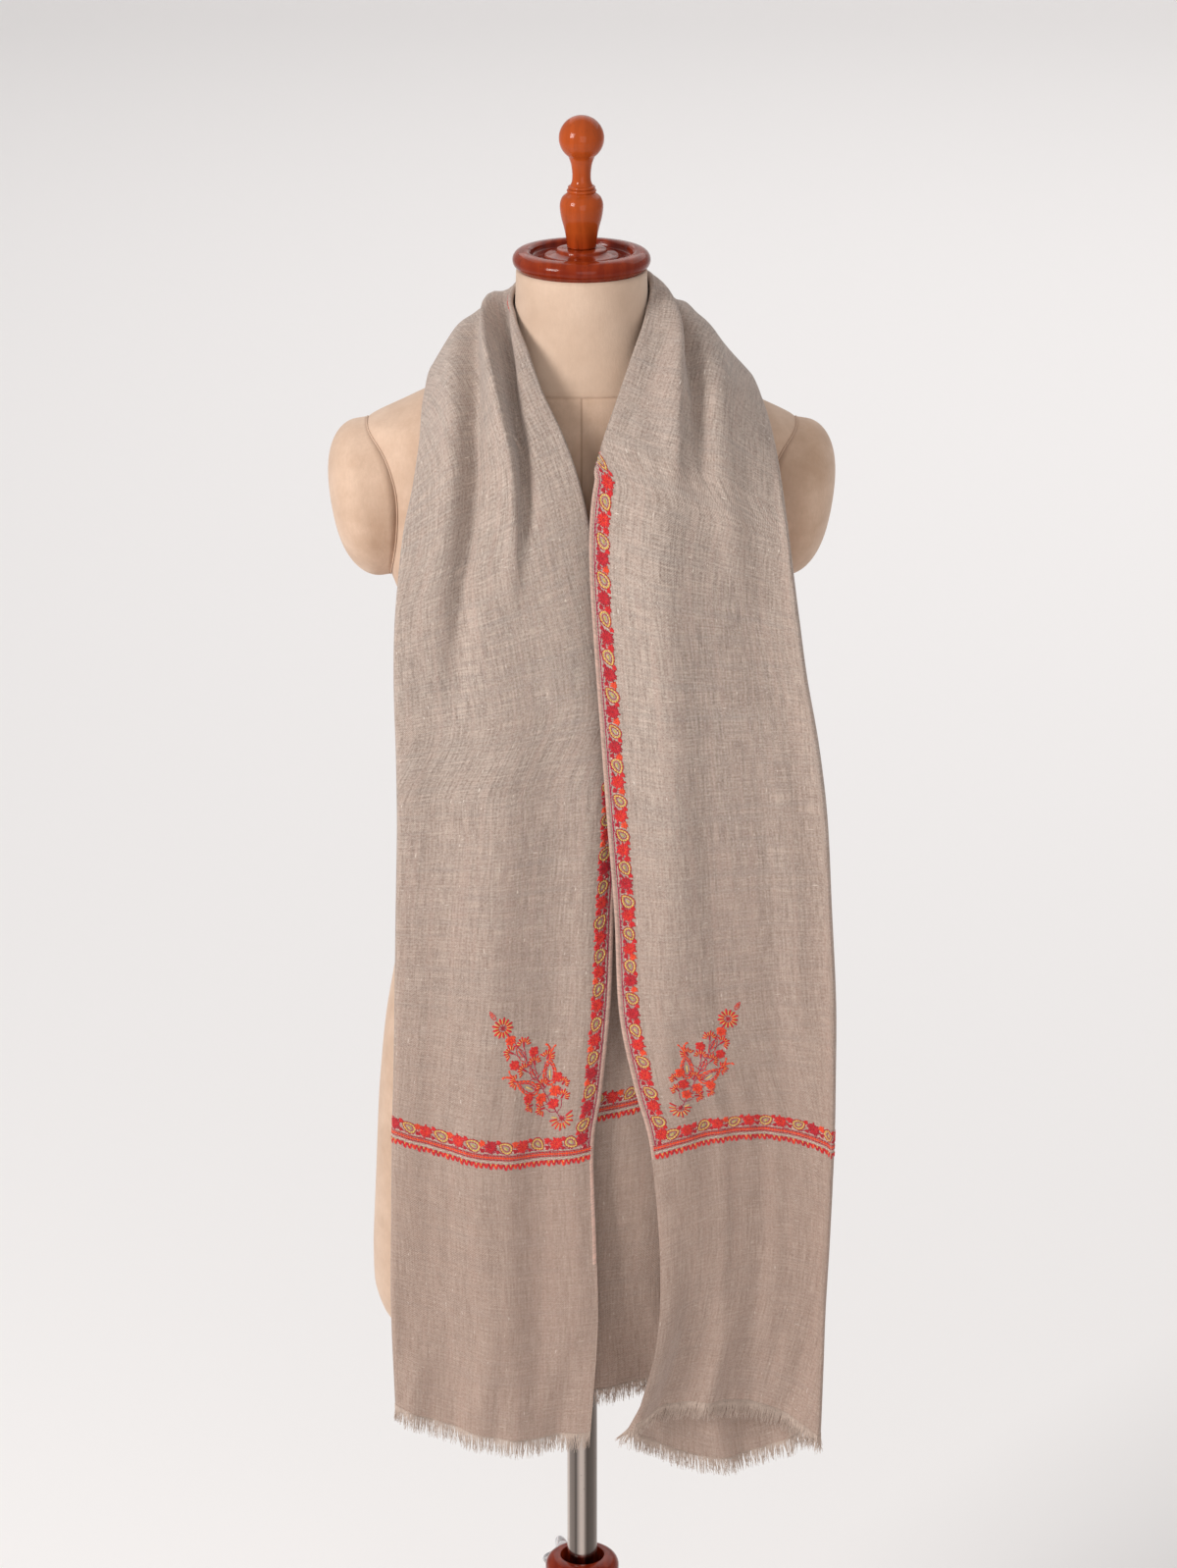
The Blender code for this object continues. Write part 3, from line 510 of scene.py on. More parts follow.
for k, band in enumerate(BANDS):
    stop = stops[k] if k < 2 else stops.new(band.share_across)
    stop.position = band.share_across
    stop.color = (band.brightness, band.brightness * 0.86, band.brightness * 0.78, 1)
tint = blend(tree, spread(tree, broad, 0.35, 0.65, 0, 0.12), painted_reflection_ramp.outputs[0], (0.4, 0.36, 0.33))
tint = wash(tree, tint, lines, 0.42, 0.66, 0.5, (0.16, 0.12, 0.10))
tint = wash(tree, tint, specks, 0.70, 0.74, 0.7, (0.12, 0.09, 0.08))
tree.links.new(tint, shader.inputs["Base Color"])
tree.links.new(spread(tree, lines, 0.3, 0.7, 0.08, 0.24), shader.inputs["Roughness"])

POLE_FOOT = 110 * MM
pole_top = FORM_RINGS[0].z * MM + SOCKET_DEPTH - GAP
profile = np.concatenate([[(0, pole_top)],
                          arc(POLE_RADIUS - 1 * MM, pole_top - 1 * MM, 1 * MM, 90, 0, 4),
                          np.stack([np.full(12, POLE_RADIUS),
                                    np.linspace(pole_top - 2 * MM, POLE_FOOT + 2 * MM, 12)], axis=1),
                          arc(POLE_RADIUS - 1 * MM, POLE_FOOT + 1 * MM, 1 * MM, 0, -90, 4),
                          [(0, POLE_FOOT)]])
pole = turned("steel_pole", profile, chrome, 64)
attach(pole, "form")
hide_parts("pole")


# ---- stand ---------------------------------------------------------------------------------
# Turned mahogany post with a bored, recessed mouth for the pole, on a round moulded base. The
# base keeps its own solid's shape with finer turning.

BASE_RADIUS, BASE_HEIGHT = 190 * MM, 24 * MM
profile = np.concatenate([
    [(0, BASE_HEIGHT), (60 * MM, BASE_HEIGHT), (120 * MM, BASE_HEIGHT), (168 * MM, BASE_HEIGHT)],
    arc(BASE_RADIUS - 14 * MM, BASE_HEIGHT - 14 * MM, 14 * MM, 88, 0, 14),
    [(BASE_RADIUS, 6 * MM)], arc(BASE_RADIUS - 4 * MM, 4 * MM, 4 * MM, 0, -90, 6), [(0, 0)]])
base = turned("round_base", profile, mahogany, 160)
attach(base, "stand")
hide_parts("stand_base")

POST_TOP = 298 * MM
BORE_FOOT = 34 * MM
post_foot = BASE_HEIGHT + GAP
outer = np.concatenate([
    arc(19.6 * MM, POST_TOP - 0.6 * MM, 0.6 * MM, 180, 90, 3),
    arc(22 * MM, POST_TOP - 10 * MM, 10 * MM, 84, 0, 10),
    [(32 * MM, POST_TOP - 30 * MM)],
    arc(30.6 * MM, POST_TOP - 50 * MM, 1.5 * MM, 20, -70, 5),
    eased([(28 * MM, POST_TOP - 54 * MM), (25.6 * MM, POST_TOP - 62 * MM),
           (23.4 * MM, POST_TOP - 110 * MM), (27 * MM, POST_TOP - 170 * MM),
           (33 * MM, POST_TOP - 203 * MM)], 10),
    arc(32.4 * MM, POST_TOP - 207 * MM, 2.6 * MM, 60, -60, 6),
    eased([(31.4 * MM, POST_TOP - 214 * MM), (31.6 * MM, POST_TOP - 222 * MM),
           (37 * MM, POST_TOP - 231 * MM), (47 * MM, post_foot + 24 * MM),
           (53 * MM, post_foot + 10 * MM)], 7),
    arc(53 * MM, post_foot + 4 * MM, 3 * MM, 50, -50, 5),
    [(54 * MM, post_foot), (0, post_foot)]])
mouth = [(0, BORE_FOOT), (SOCKET_RADIUS, BORE_FOOT), (SOCKET_RADIUS, 160 * MM),
         (SOCKET_RADIUS, POST_TOP - 13 * MM), (18 * MM, POST_TOP - 13 * MM),
         (18.6 * MM, POST_TOP - 3 * MM)]
post = turned("turned_post", np.concatenate([mouth, outer]), mahogany)
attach(post, "stand")
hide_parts("stand_post")


# ---- clamp knob ------------------------------------------------------------------------------
# Clear moulded hand knob with round lobes, on a steel screw that grips the pole from behind.
# A lobed outline carried through a rounded profile.

KNOB_HEIGHT, KNOB_BEARING = 272 * MM, math.radians(108)
KNOB_RADIUS, KNOB_LOBES, KNOB_SEAT = 21 * MM, 5, 40 * MM
STEM_RADIUS = 3 * MM
STEM_LENGTH = KNOB_SEAT - POLE_RADIUS - GAP
out_way = np.array([math.cos(KNOB_BEARING), math.sin(KNOB_BEARING), 0])
side_way = np.array([-math.sin(KNOB_BEARING), math.cos(KNOB_BEARING), 0])
up_way = np.array([0, 0, 1.0])
around = np.linspace(0, 2 * math.pi, 121)[:-1]
lobes = KNOB_RADIUS * (0.76 + 0.24 * np.cos(KNOB_LOBES * around))
edge = np.array([(0.02, 0), (0.5, 0), (0.86, 0), (0.93, 0.3), (0.98, 1.2), (1, 2.6), (1, 8.2),
                 (0.97, 9.8), (0.91, 10.7), (0.84, 11), (0.5, 11.3), (0.28, 11), (0.24, 9.5),
                 (0.02, 9.4)])


def behind_pole(outline, heights):
    """Rings of an outline in polar form, carried out along the screw's bearing."""
    flat = outline[..., None] * (np.cos(around)[:, None] * side_way
                                 + np.sin(around)[:, None] * up_way)
    return flat + heights[:, None, None] * out_way + [0, 0, KNOB_HEIGHT]


knob_rings = behind_pole(edge[:, 0:1] * lobes[None, :], KNOB_SEAT + edge[:, 1] * MM)
sides = len(around)
ends = [list(range(sides))[::-1], [(len(knob_rings) - 1) * sides + i for i in range(sides)]]
clear, tree, shader = finish("clear_moulding", (0.93, 0.93, 0.94), 0.08, IOR=1.49,
                             Transmission_Weight=0.75)
place = object_place(tree)
cloud = noise(tree, place, 140, 2, 0.5)
tree.links.new(blend(tree, cloud, (0.84, 0.84, 0.86), (0.97, 0.97, 0.98)),
               shader.inputs["Base Color"])
tree.links.new(spread(tree, cloud, 0.3, 0.7, 0.05, 0.16), shader.inputs["Roughness"])
knob = mesh_object("lobed_knob", knob_rings, grid_faces(len(knob_rings), sides, True) + ends,
                   clear)
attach(knob, "knob")
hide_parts("clamp_knob")

threads = np.linspace(0, 1, 90)
stem_radius = STEM_RADIUS - 0.18 * MM + 0.18 * MM * np.sin(threads * 2 * math.pi * 22)
stem_radius[:3] *= (0.7, 0.85, 0.95)
screw_rings = behind_pole(np.repeat(stem_radius[:, None], sides, axis=1),
                          KNOB_SEAT - STEM_LENGTH + threads * (STEM_LENGTH + 4 * MM))[:, ::5]
sides = screw_rings.shape[1]
ends = [list(range(sides))[::-1], [(len(screw_rings) - 1) * sides + i for i in range(sides)]]
steel, tree, shader = finish("screw_steel", (0.5, 0.49, 0.47), 0.3, Metallic=1.0)
place = object_place(tree)
tree.links.new(blend(tree, noise(tree, place, 300, 2), (0.36, 0.35, 0.33), (0.62, 0.61, 0.59)),
               shader.inputs["Base Color"])
screw = mesh_object("clamp_screw", screw_rings, grid_faces(len(screw_rings), sides, True) + ends,
                    steel)
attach(screw, "knob")
for piece in (knob, screw):
    solid = bmesh.new()
    solid.from_mesh(piece.data)
    bmesh.ops.recalc_face_normals(solid, faces=solid.faces[:])
    solid.to_mesh(piece.data)
    solid.free()


# ---- shawl cloth -----------------------------------------------------------------------------
# One length of fine heathered pashmina twill, folded lengthwise in three and hung round the
# neck. Every cross section runs over the front, round the side fold, back under the front, round
# a second fold and out again; sections are laid at equal steps from the nape to each hem.

Drape = namedtuple("Drape", "in_x in_y in_z out_x out_y out_z crown sag")
LEFT_FRONT = [
    # embroidered edge or the roll beside the neck (x y z), side fold (x y z), swell, sag (mm)
    Drape(0, 59, 1436, 0, 102, 1318, 8, 0),
    Drape(-28, 53, 1435, -58, 98, 1318, 8, 0),
    Drape(-46, 34, 1430, -98, 74, 1336, 8, 0),
    Drape(-57, 6, 1423, -121, 20, 1360, 8, 0),
    Drape(-56, -24, 1411, -128, -35, 1347, 9, 0),
    Drape(-45, -62, 1391, -130, -77, 1320, 11, 0),
    Drape(-33, -86, 1364, -134, -104, 1292, 10, 0),
    Drape(-16, -105, 1332, -140, -120, 1262, 6, 0),
    Drape(-3, -117, 1296, -144, -130, 1225, 6, 0),
    Drape(8, -125, 1248, -147, -136, 1185, 6, 0),
    Drape(22, -129, 1180, -148, -138, 1135, 5, 0),
    Drape(31, -130, 1105, -147, -139, 1080, 5, 0),
    Drape(32, -130, 1035, -147, -139, 1020, 4, 0),
    Drape(27, -130, 955, -149, -138, 950, 4, 0),
    Drape(24, -131, 870, -151, -137, 875, 3, -2),
    Drape(17, -133, 790, -153, -136, 805, 3, -6),
    Drape(10, -135, 739, -155, -135, 756, 2, -11),
    Drape(12, -136, 650, -157, -134, 670, 1, -12),
    Drape(13, -137, 575, -158, -134, 598, 0, -12),
    Drape(7, -137, 481, -156, -134, 507, 0, -13),
]
RIGHT_FRONT = [
    Drape(0, 59, 1436, 0, 102, 1318, 8, 0),
    Drape(28, 53, 1437, 60, 98, 1318, 8, 0),
    Drape(46, 33, 1436, 108, 74, 1338, 6, 0),
    Drape(54, 6, 1431, 135, 18, 1355, 4, 0),
    Drape(54, -26, 1413, 147, -34, 1343, 5, 0),
    Drape(43, -62, 1389, 154, -76, 1322, 6, 0),
    Drape(30, -90, 1358, 158, -104, 1298, 6, 0),
    Drape(17, -113, 1325, 162, -122, 1268, 8, 0),
    Drape(8, -128, 1290, 166, -131, 1235, 6, 0),
    Drape(6, -136, 1240, 171, -137, 1195, 4, 0),
    Drape(10, -139, 1170, 178, -139, 1145, 1, 0),
    Drape(15, -140, 1100, 188, -139, 1090, -1, 0),
    Drape(20, -140, 1030, 196, -138, 1028, -3, 0),
    Drape(26, -140, 950, 201, -137, 950, -4, 0),
    Drape(30, -141, 865, 206, -136, 868, -5, 2),
    Drape(42, -142, 803, 207, -135, 800, -5, 5),
    Drape(55, -143, 750, 207, -134, 742, -5, 12),
    Drape(63, -144, 655, 205, -133, 660, -4, 13),
    Drape(60, -144, 580, 202, -132, 580, -3, 15),
    Drape(43, -143, 503, 200, -132, 480, -2, 21),
]
Fold = namedtuple("Fold", "turn_x turn_y turn_z end_x end_y end_z sag")
LEFT_FOLD = [
    # second fold (x y z), far long edge of the cloth (x y z), sag (mm)
    Fold(0, 74, 1388, 0, 90, 1340, 0),
    Fold(-40, 67, 1388, -54, 87, 1340, 0),
    Fold(-72, 46, 1384, -92, 62, 1348, 0),
    Fold(-90, 10, 1377, -113, 19, 1350, 0),
    Fold(-88, -30, 1374, -117, -34, 1344, 0),
    Fold(-74, -68, 1352, -118, -71, 1316, 0),
    Fold(-52, -91, 1330, -122, -94, 1286, 0),
    Fold(-30, -105, 1300, -126, -108, 1258, 0),
    Fold(-10, -114, 1266, -130, -115, 1222, 0),
    Fold(2, -117, 1222, -133, -119, 1183, 0),
    Fold(18, -118, 1160, -134, -121, 1134, 0),
    Fold(27, -118, 1095, -134, -121, 1080, 0),
    Fold(34, -117, 1026, -134, -120, 1020, 0),
    Fold(44, -116, 955, -136, -119, 950, 0),
    Fold(54, -115, 886, -138, -118, 876, 0),
    Fold(64, -115, 822, -140, -117, 806, 0),
    Fold(70, -115, 780, -142, -117, 757, -10),
    Fold(77, -115, 688, -143, -116, 671, -10),
    Fold(76, -110, 612, -143, -116, 600, -10),
    Fold(72, -106, 520, -142, -114, 510, -8),
]
RIGHT_FOLD = [
    Fold(0, 74, 1388, 0, 90, 1340, 0),
    Fold(42, 67, 1390, 56, 87, 1342, 0),
    Fold(64, 44, 1398, 102, 62, 1348, 0),
    Fold(68, 6, 1402, 124, 18, 1344, 0),
    Fold(64, -24, 1386, 132, -33, 1330, 0),
    Fold(58, -62, 1365, 139, -70, 1313, 0),
    Fold(52, -86, 1336, 142, -92, 1296, 0),
    Fold(50, -104, 1308, 147, -106, 1266, 0),
    Fold(48, -119, 1275, 151, -116, 1234, 0),
    Fold(47, -124, 1230, 156, -121, 1195, 0),
    Fold(48, -126, 1164, 163, -118, 1145, 0),
    Fold(54, -127, 1096, 172, -117, 1090, 0),
    Fold(56, -127, 1028, 179, -115, 1028, 0),
    Fold(60, -127, 950, 184, -113, 950, 0),
    Fold(66, -127, 868, 188, -112, 868, -3),
    Fold(78, -127, 803, 189, -111, 800, -10),
    Fold(88, -127, 745, 189, -110, 740, -18),
    Fold(90, -127, 655, 187, -109, 655, -24),
    Fold(78, -127, 580, 185, -109, 576, -28),
    Fold(37, -127, 491, 183, -109, 476, -32),
]
Crease = namedtuple("Crease", "start middle end first last depth width lean")
LEFT_CREASES = [
    # place across where it starts, halfway and where it ends (0 at the inner edge, 1 at the
    # side), first and last row, depth outwards and half width (mm), lean towards the side (mm)
    Crease(0.05, 0.18, 0.34, 2.2, 8.6, -19, 6, 0),
    Crease(0.21, 0.31, 0.44, 2.0, 9.4, 14, 7, -7),
    Crease(0.30, 0.54, 0.76, 2.0, 10.6, -15, 10, 0),
    Crease(0.50, 0.68, 0.88, 2.4, 9.6, 5, 13, 0),
    Crease(-0.05, 0.0, 0.04, 8.0, 19.9, -10, 34, 0),
    Crease(0.62, 0.57, 0.52, 8.5, 19.9, 4.5, 24, 0),
    Crease(0.30, 0.28, 0.24, 9.5, 19.9, -4, 17, 0),
    Crease(0.12, 0.10, 0.09, 10.0, 19.9, 3, 12, 0),
    Crease(0.86, 0.84, 0.85, 9.0, 19.9, -3, 14, 0),
    Crease(0.40, 0.44, 0.40, 13.0, 19.9, 2.2, 9, 0),
    Crease(0.70, 0.74, 0.71, 14.0, 19.9, -2.4, 8, 0),
]
RIGHT_CREASES = [
    Crease(0.12, 0.40, 0.56, 2.4, 6.9, -12, 7, 0),
    Crease(0.00, 0.22, 0.40, 2.2, 7.4, 11, 9, 6),
    Crease(0.50, 0.62, 0.80, 2.0, 9.2, 6, 15, 0),
    Crease(0.30, 0.28, -0.14, 5.0, 19.9, 15, 30, 0),
    Crease(0.90, 0.86, 0.74, 5.5, 19.9, -15, 34, 0),
    Crease(0.12, 0.13, 0.16, 10.5, 19.9, -3, 11, 0),
    Crease(0.82, 0.84, 0.80, 9.0, 19.9, 5, 16, 0),
    Crease(0.42, 0.40, 0.43, 12.5, 19.9, 2.6, 8, 0),
    Crease(0.70, 0.71, 0.69, 14.0, 19.9, 2.2, 8, 0),
]
NAPE_CREASES = [
    Crease(0.24, 0.24, 0.20, -4.0, 2.6, -10, 6, 0),
    Crease(0.40, 0.42, 0.40, -3.5, 2.9, 11, 6, 0),
    Crease(0.57, 0.56, 0.54, -4.0, 2.5, -10, 6, 0),
    Crease(0.73, 0.73, 0.72, -4.2, 3.0, 9, 6, 0),
    Crease(0.88, 0.87, 0.88, -4.0, 2.8, -8, 6, 0),
]
Roll = namedtuple("Roll", "shut open")
LEFT_ROLL, RIGHT_ROLL = Roll(10.6, 11.8), Roll(6.6, 7.7)
ROLL_WIDTH, ROLL_RADIUS, ROLL_TIGHTENING = 30 * MM, 2.7 * MM, 0.11 * MM
OUTER_TURN, INNER_TURN = 5.5 * MM, 4.0 * MM
HEM_ROW = len(LEFT_FRONT) - 1
EDGE_COLUMNS, FRONT_COLUMNS, TURN_COLUMNS, BACK_COLUMNS = 28, 41, 9, 33
ROWS = 284
CLEARANCE = {"front": 5.9 * MM, "middle": 2.2 * MM, "last": 1.0 * MM}


def unit(vectors):
    return vectors / np.linalg.norm(vectors, axis=-1, keepdims=True)


def crease_share(crease, rows):
    """Strength (0 to 1) and place across of a crease at each row."""
    along = (rows - crease.first) / (crease.last - crease.first)
    f = np.clip(along, 0, 1)
    inside = np.sin(math.pi * f) ** 0.7
    if crease.last > HEM_ROW:
        inside = np.sin(math.pi / 2 * np.minimum(f * 3, 1)) ** 2
    place = (crease.start * (1 - f) * (1 - 2 * f) + crease.middle * 4 * f * (1 - f)
             + crease.end * f * (2 * f - 1))
    return inside, place


def swell_of(table, creases, rows, t, width):
    """How far a front layer stands out of its flat section and how far it leans sideways."""
    crown = smooth_rows(table, rows)[:, 6] * MM
    swell = crown[:, None] * 4 * t * (1 - t)
    shift = np.zeros_like(swell)
    for crease in creases:
        near, place = crease_share(crease, rows)
        off = (t - place[:, None]) * width[:, None] / (crease.width * MM)
        bell = near[:, None] * np.exp(-off ** 2)
        swell = swell + crease.depth * MM * bell
        shift = shift + crease.lean * MM * bell
    return swell, shift


def turn_points(centre, forward, sideways, bend_radius, degrees):
    """Points of a fold: from straight forward of its centre, round sideways, to behind it."""
    a = np.radians(degrees)[None, :, None]
    return centre[:, None] + bend_radius * (forward[:, None] * np.cos(a)
                                            + sideways[:, None] * np.sin(a))


def cloth_sections(front, fold, creases, roll, rows, hand):
    """Points of the folded cloth, a row for each section and a column for each thread line. Also
    each section's ways out and across, and the length of cloth wound in past its edge."""
    values = smooth_rows(front, rows)
    inner_edge, outer, sag = values[:, 0:3] * MM, values[:, 3:6] * MM, values[:, 7] * MM
    step = 0.05
    change = smooth_rows(front, rows + step) - smooth_rows(front, rows - step)
    run = unit(change[:, 0:3] + change[:, 3:6])
    over = unit(outer - inner_edge)
    out = unit(np.cross(run, over)) * hand
    width = np.linalg.norm(outer - inner_edge, axis=1) - OUTER_TURN

    def on_front(s):
        """The front layer at a distance s from its inner edge."""
        t = s / width[:, None]
        swell, shift = swell_of(front, creases, rows, t, width)
        across = s + shift * np.sqrt(np.sin(math.pi * t.clip(0, 1)))
        points = inner_edge[:, None] + over[:, None] * across[..., None]
        points = points + out[:, None] * swell[..., None]
        points[..., 2] += sag[:, None] * 4 * t * (1 - t)
        return points

    opened = np.clip((rows - roll.shut) / (roll.open - roll.shut), 0, 1)
    rolled = ROLL_WIDTH * (1 - opened ** 2 * (3 - 2 * opened))
    edge_u = np.linspace(0, ROLL_WIDTH, EDGE_COLUMNS)[None, :]
    beyond = edge_u - rolled[:, None]
    rest = (beyond[:, -1:]
            + (width - beyond[:, -1])[:, None] * np.linspace(0, 1, FRONT_COLUMNS)[None, 1:])
    flat = on_front(np.concatenate([np.maximum(beyond, 0), rest], axis=1))

    centre = outer - over * OUTER_TURN - out * OUTER_TURN
    backs = smooth_rows(fold, rows)
    turn, end, fold_sag = backs[:, 0:3] * MM, backs[:, 3:6] * MM, backs[:, 6] * MM
    first = turn_points(centre, out, over, OUTER_TURN, np.linspace(0, 180, TURN_COLUMNS + 2)[1:])
    span = np.linalg.norm(turn - centre, axis=1)[:, None]

    def nested(share):
        """Swell of the front layer at a share of the way from the side fold to the second."""
        t = np.clip(1 - share * span / width[:, None], 0, 1)
        return swell_of(front, creases, rows, t, width)[0]

    at_turn = nested(np.ones((1, 1)))
    turn = turn + out * at_turn
    inward = unit(turn - centre)
    second_centre = turn - inward * INNER_TURN
    second = turn_points(second_centre, out, inward, INNER_TURN, np.linspace(0, 180, TURN_COLUMNS))
    t = np.linspace(0, 1, BACK_COLUMNS)[None, 1:-1]
    middle = first[:, -1:] * (1 - t[..., None]) + second[:, :1] * t[..., None]
    middle = middle + out[:, None] * (nested(t) - t * at_turn)[..., None]
    middle[..., 2] += fold_sag[:, None] * 4 * t * (1 - t)
    t = np.linspace(0, 1, BACK_COLUMNS)[None, 1:]
    last = second[:, -1:] * (1 - t[..., None]) + end[:, None] * t[..., None]
    follow = nested(1 - t) * (1 - 0.5 * t) - (1 - t) * at_turn
    last = last + out[:, None] * follow[..., None]
    return np.concatenate([flat, first, middle, second, last], axis=1), out, over, -beyond


def rolled_edge(points, out, over, wound):
    """The inner edge wound up under itself: a spiral of the length that is wound in, whose
    radius shrinks steadily with its angle."""
    wound_in = np.maximum(wound, 0)
    radius = np.sqrt(np.maximum(ROLL_RADIUS ** 2 - 2 * ROLL_TIGHTENING * wound_in, 0))
    a = ((ROLL_RADIUS - radius) / ROLL_TIGHTENING)[..., None]
    centre = points[:, :1] - out[:, None] * ROLL_RADIUS
    spiral = centre + radius[..., None] * (out[:, None] * np.cos(a) - over[:, None] * np.sin(a))
    edge = np.where(wound_in[..., None] > 0, spiral, points[:, :EDGE_COLUMNS])
    return np.concatenate([edge, points[:, EDGE_COLUMNS:]], axis=1)


def even_rows(table, count):
    """Row numbers that cut an end into equal lengths from the nape to the hem, and the length."""
    fine = np.linspace(0, HEM_ROW, 2000)
    values = smooth_rows(table, fine)
    middle = (values[:, 0:3] + values[:, 3:6]) / 2 * MM
    length = np.concatenate([[0], np.cumsum(np.linalg.norm(np.diff(middle, axis=0), axis=1))])
    return np.interp(np.linspace(0, length[-1], count), length, fine), length[-1]


def ripple(u, v, seed):
    """Small uneven waves in the cloth: a few long ones along the ends and short ones at the hem.
    Each is a sine across times a slow sine along, growing with the distance from the nape."""
    draw = np.random.default_rng(seed)
    grow = np.clip((v - 0.18) / 0.6, 0, 1)
    low = np.clip((v - 0.86) / 0.19, 0, 1) ** 2
    height = 0
    for wave, size in ((0.075, 0.9), (0.047, 0.55), (0.031, 0.32), (0.12, 1.0)):
        a, b, c = draw.uniform(0, 2 * math.pi, 3)
        height = height + size * np.sin(2 * math.pi * u / wave + a + 1.4 * np.sin(v * 5 + b)) * (
            0.6 + 0.4 * np.sin(v * 9 + c))
    flutter = 0
    for wave, size in ((0.052, 1.5), (0.029, 0.7), (0.093, 1.6)):
        a, b = draw.uniform(0, 2 * math.pi, 2)
        flutter = flutter + size * np.sin(2 * math.pi * u / wave + a + 1.2 * np.sin(v * 21 + b))
    edge = np.exp(-u / 0.02) * np.clip((v - 0.35) / 0.3, 0, 1) * 1.8 * np.sin(v * 30 + seed)
    return (height * (0.25 + 0.75 * grow) + flutter * low + edge) * MM


def measured_across(points):
    """Distance of each point from the first one, along its section."""
    steps = np.linalg.norm(np.diff(points, axis=1), axis=2)
    return np.concatenate([np.zeros((len(points), 1)), np.cumsum(steps, axis=1)], axis=1)


def cloth_end(front, fold, creases, roll, hand, seed):
    """Finished points of one end, the distance u across along each section, and v along."""
    rows, length = even_rows(front, ROWS)
    points, out, over, wound = cloth_sections(front, fold, creases, roll, rows, hand)
    v = np.linspace(0, length, ROWS)
    waves = ripple(measured_across(points), v[:, None], seed)
    points = points + out[:, None] * waves[..., None]
    fronts = EDGE_COLUMNS + FRONT_COLUMNS - 1 + TURN_COLUMNS // 2
    middles = fronts + TURN_COLUMNS // 2 + BACK_COLUMNS + TURN_COLUMNS // 2
    column = np.arange(points.shape[1])
    ease = np.interp(column, [fronts - 4, fronts + 4, middles - 4, middles + 4],
                     [CLEARANCE["front"], CLEARANCE["middle"], CLEARANCE["middle"],
                      CLEARANCE["last"]])
    for _ in range(3):
        distance, way = form_distance(points)
        points = points + way * np.maximum(ease[None, :] - distance, 0)[..., None]
    points = rolled_edge(points, out, over, wound)
    return {"points": points, "u": measured_across(points), "v": v, "rows": rows,
            "length": length, "hand": hand}


left = cloth_end(LEFT_FRONT, LEFT_FOLD, LEFT_CREASES + NAPE_CREASES, LEFT_ROLL, -1, 5)
right = cloth_end(RIGHT_FRONT, RIGHT_FOLD, RIGHT_CREASES + NAPE_CREASES, RIGHT_ROLL, 1, 8)
seam = (left["points"][0] + right["points"][0]) / 2
for end in (left, right):
    ease = np.clip(1 - np.arange(ROWS) / 12, 0, 1)[:, None, None] ** 2
    end["points"] = end["points"] + (seam - end["points"][0])[None] * ease

joined = np.concatenate([left["points"][::-1], right["points"][1:]])
across = np.concatenate([left["u"][::-1], right["u"][1:]])
along = np.concatenate([-left["v"][::-1], right["v"][1:]])
uv = np.stack([across, np.broadcast_to(along[:, None], across.shape)], axis=-1).reshape(-1, 2)

pashmina, tree, shader = finish("pashmina", (0.42, 0.35, 0.31), 0.88, Sheen_Weight=0.22,
                                Sheen_Roughness=0.5, Specular_IOR_Level=0.18)
cloth_place = node(tree, "ShaderNodeUVMap", uv_map="cloth").outputs[0]
warp = noise(tree, cloth_place, 1, 2, 0.55, (610, 42, 1))
weft = noise(tree, cloth_place, 1, 2, 0.55, (38, 610, 1))
warp_wide = noise(tree, cloth_place, 1, 2, 0.5, (170, 7, 1))
weft_wide = noise(tree, cloth_place, 1, 2, 0.5, (6, 170, 1))
heather = noise(tree, cloth_place, 560, 3, 0.7)
cloudy = noise(tree, cloth_place, 22, 4, 0.6)
slub = noise(tree, cloth_place, 1, 1, 0.5, (480, 130, 1))
slub_weft = noise(tree, cloth_place, 1, 1, 0.5, (110, 500, 1))
twill = node(tree, "ShaderNodeTexWave",
             {"Vector": cloth_place, "Scale": 330, "Distortion": 0.6},
             bands_direction="DIAGONAL").outputs["Fac"]
tint = blend(tree, spread(tree, warp, 0.33, 0.67), (0.255, 0.185, 0.150), (0.56, 0.45, 0.382))
tint = wash(tree, tint, weft, 0.40, 0.66, 0.62, (0.25, 0.198, 0.172))
tint = wash(tree, tint, weft, 0.44, 0.30, 0.45, (0.60, 0.49, 0.425))
tint = wash(tree, tint, warp_wide, 0.45, 0.70, 0.45, (0.49, 0.35, 0.295))
tint = wash(tree, tint, weft_wide, 0.45, 0.70, 0.38, (0.32, 0.275, 0.25))
tint = wash(tree, tint, cloudy, 0.35, 0.7, 0.3, (0.45, 0.33, 0.27))
tint = wash(tree, tint, heather, 0.42, 0.70, 0.5, (0.68, 0.585, 0.51))
tint = wash(tree, tint, heather, 0.42, 0.28, 0.5, (0.17, 0.12, 0.10))
tint = wash(tree, tint, slub, 0.72, 0.79, 0.8, (0.80, 0.71, 0.63))
tint = wash(tree, tint, slub_weft, 0.73, 0.80, 0.75, (0.78, 0.69, 0.61))
# Painted shade: the cloth turns darker and redder from 0.5 m to 0.9 m along each end from the nape,
# towards the hems.
distance_along = math_of(tree, "ABSOLUTE", part_of(tree, cloth_place, 1))
tint = wash(tree, tint, distance_along, 0.5, 0.9, 0.45, (0.36, 0.225, 0.17))
tree.links.new(tint, shader.inputs["Base Color"])
weave_height = math_of(tree, "ADD", math_of(tree, "MULTIPLY", warp, 0.9),
                       math_of(tree, "MULTIPLY", weft, 0.8))
weave_height = math_of(tree, "ADD", weave_height, math_of(tree, "MULTIPLY", twill, 0.45))
relief(tree, shader, weave_height, 0.6, 0.0006)

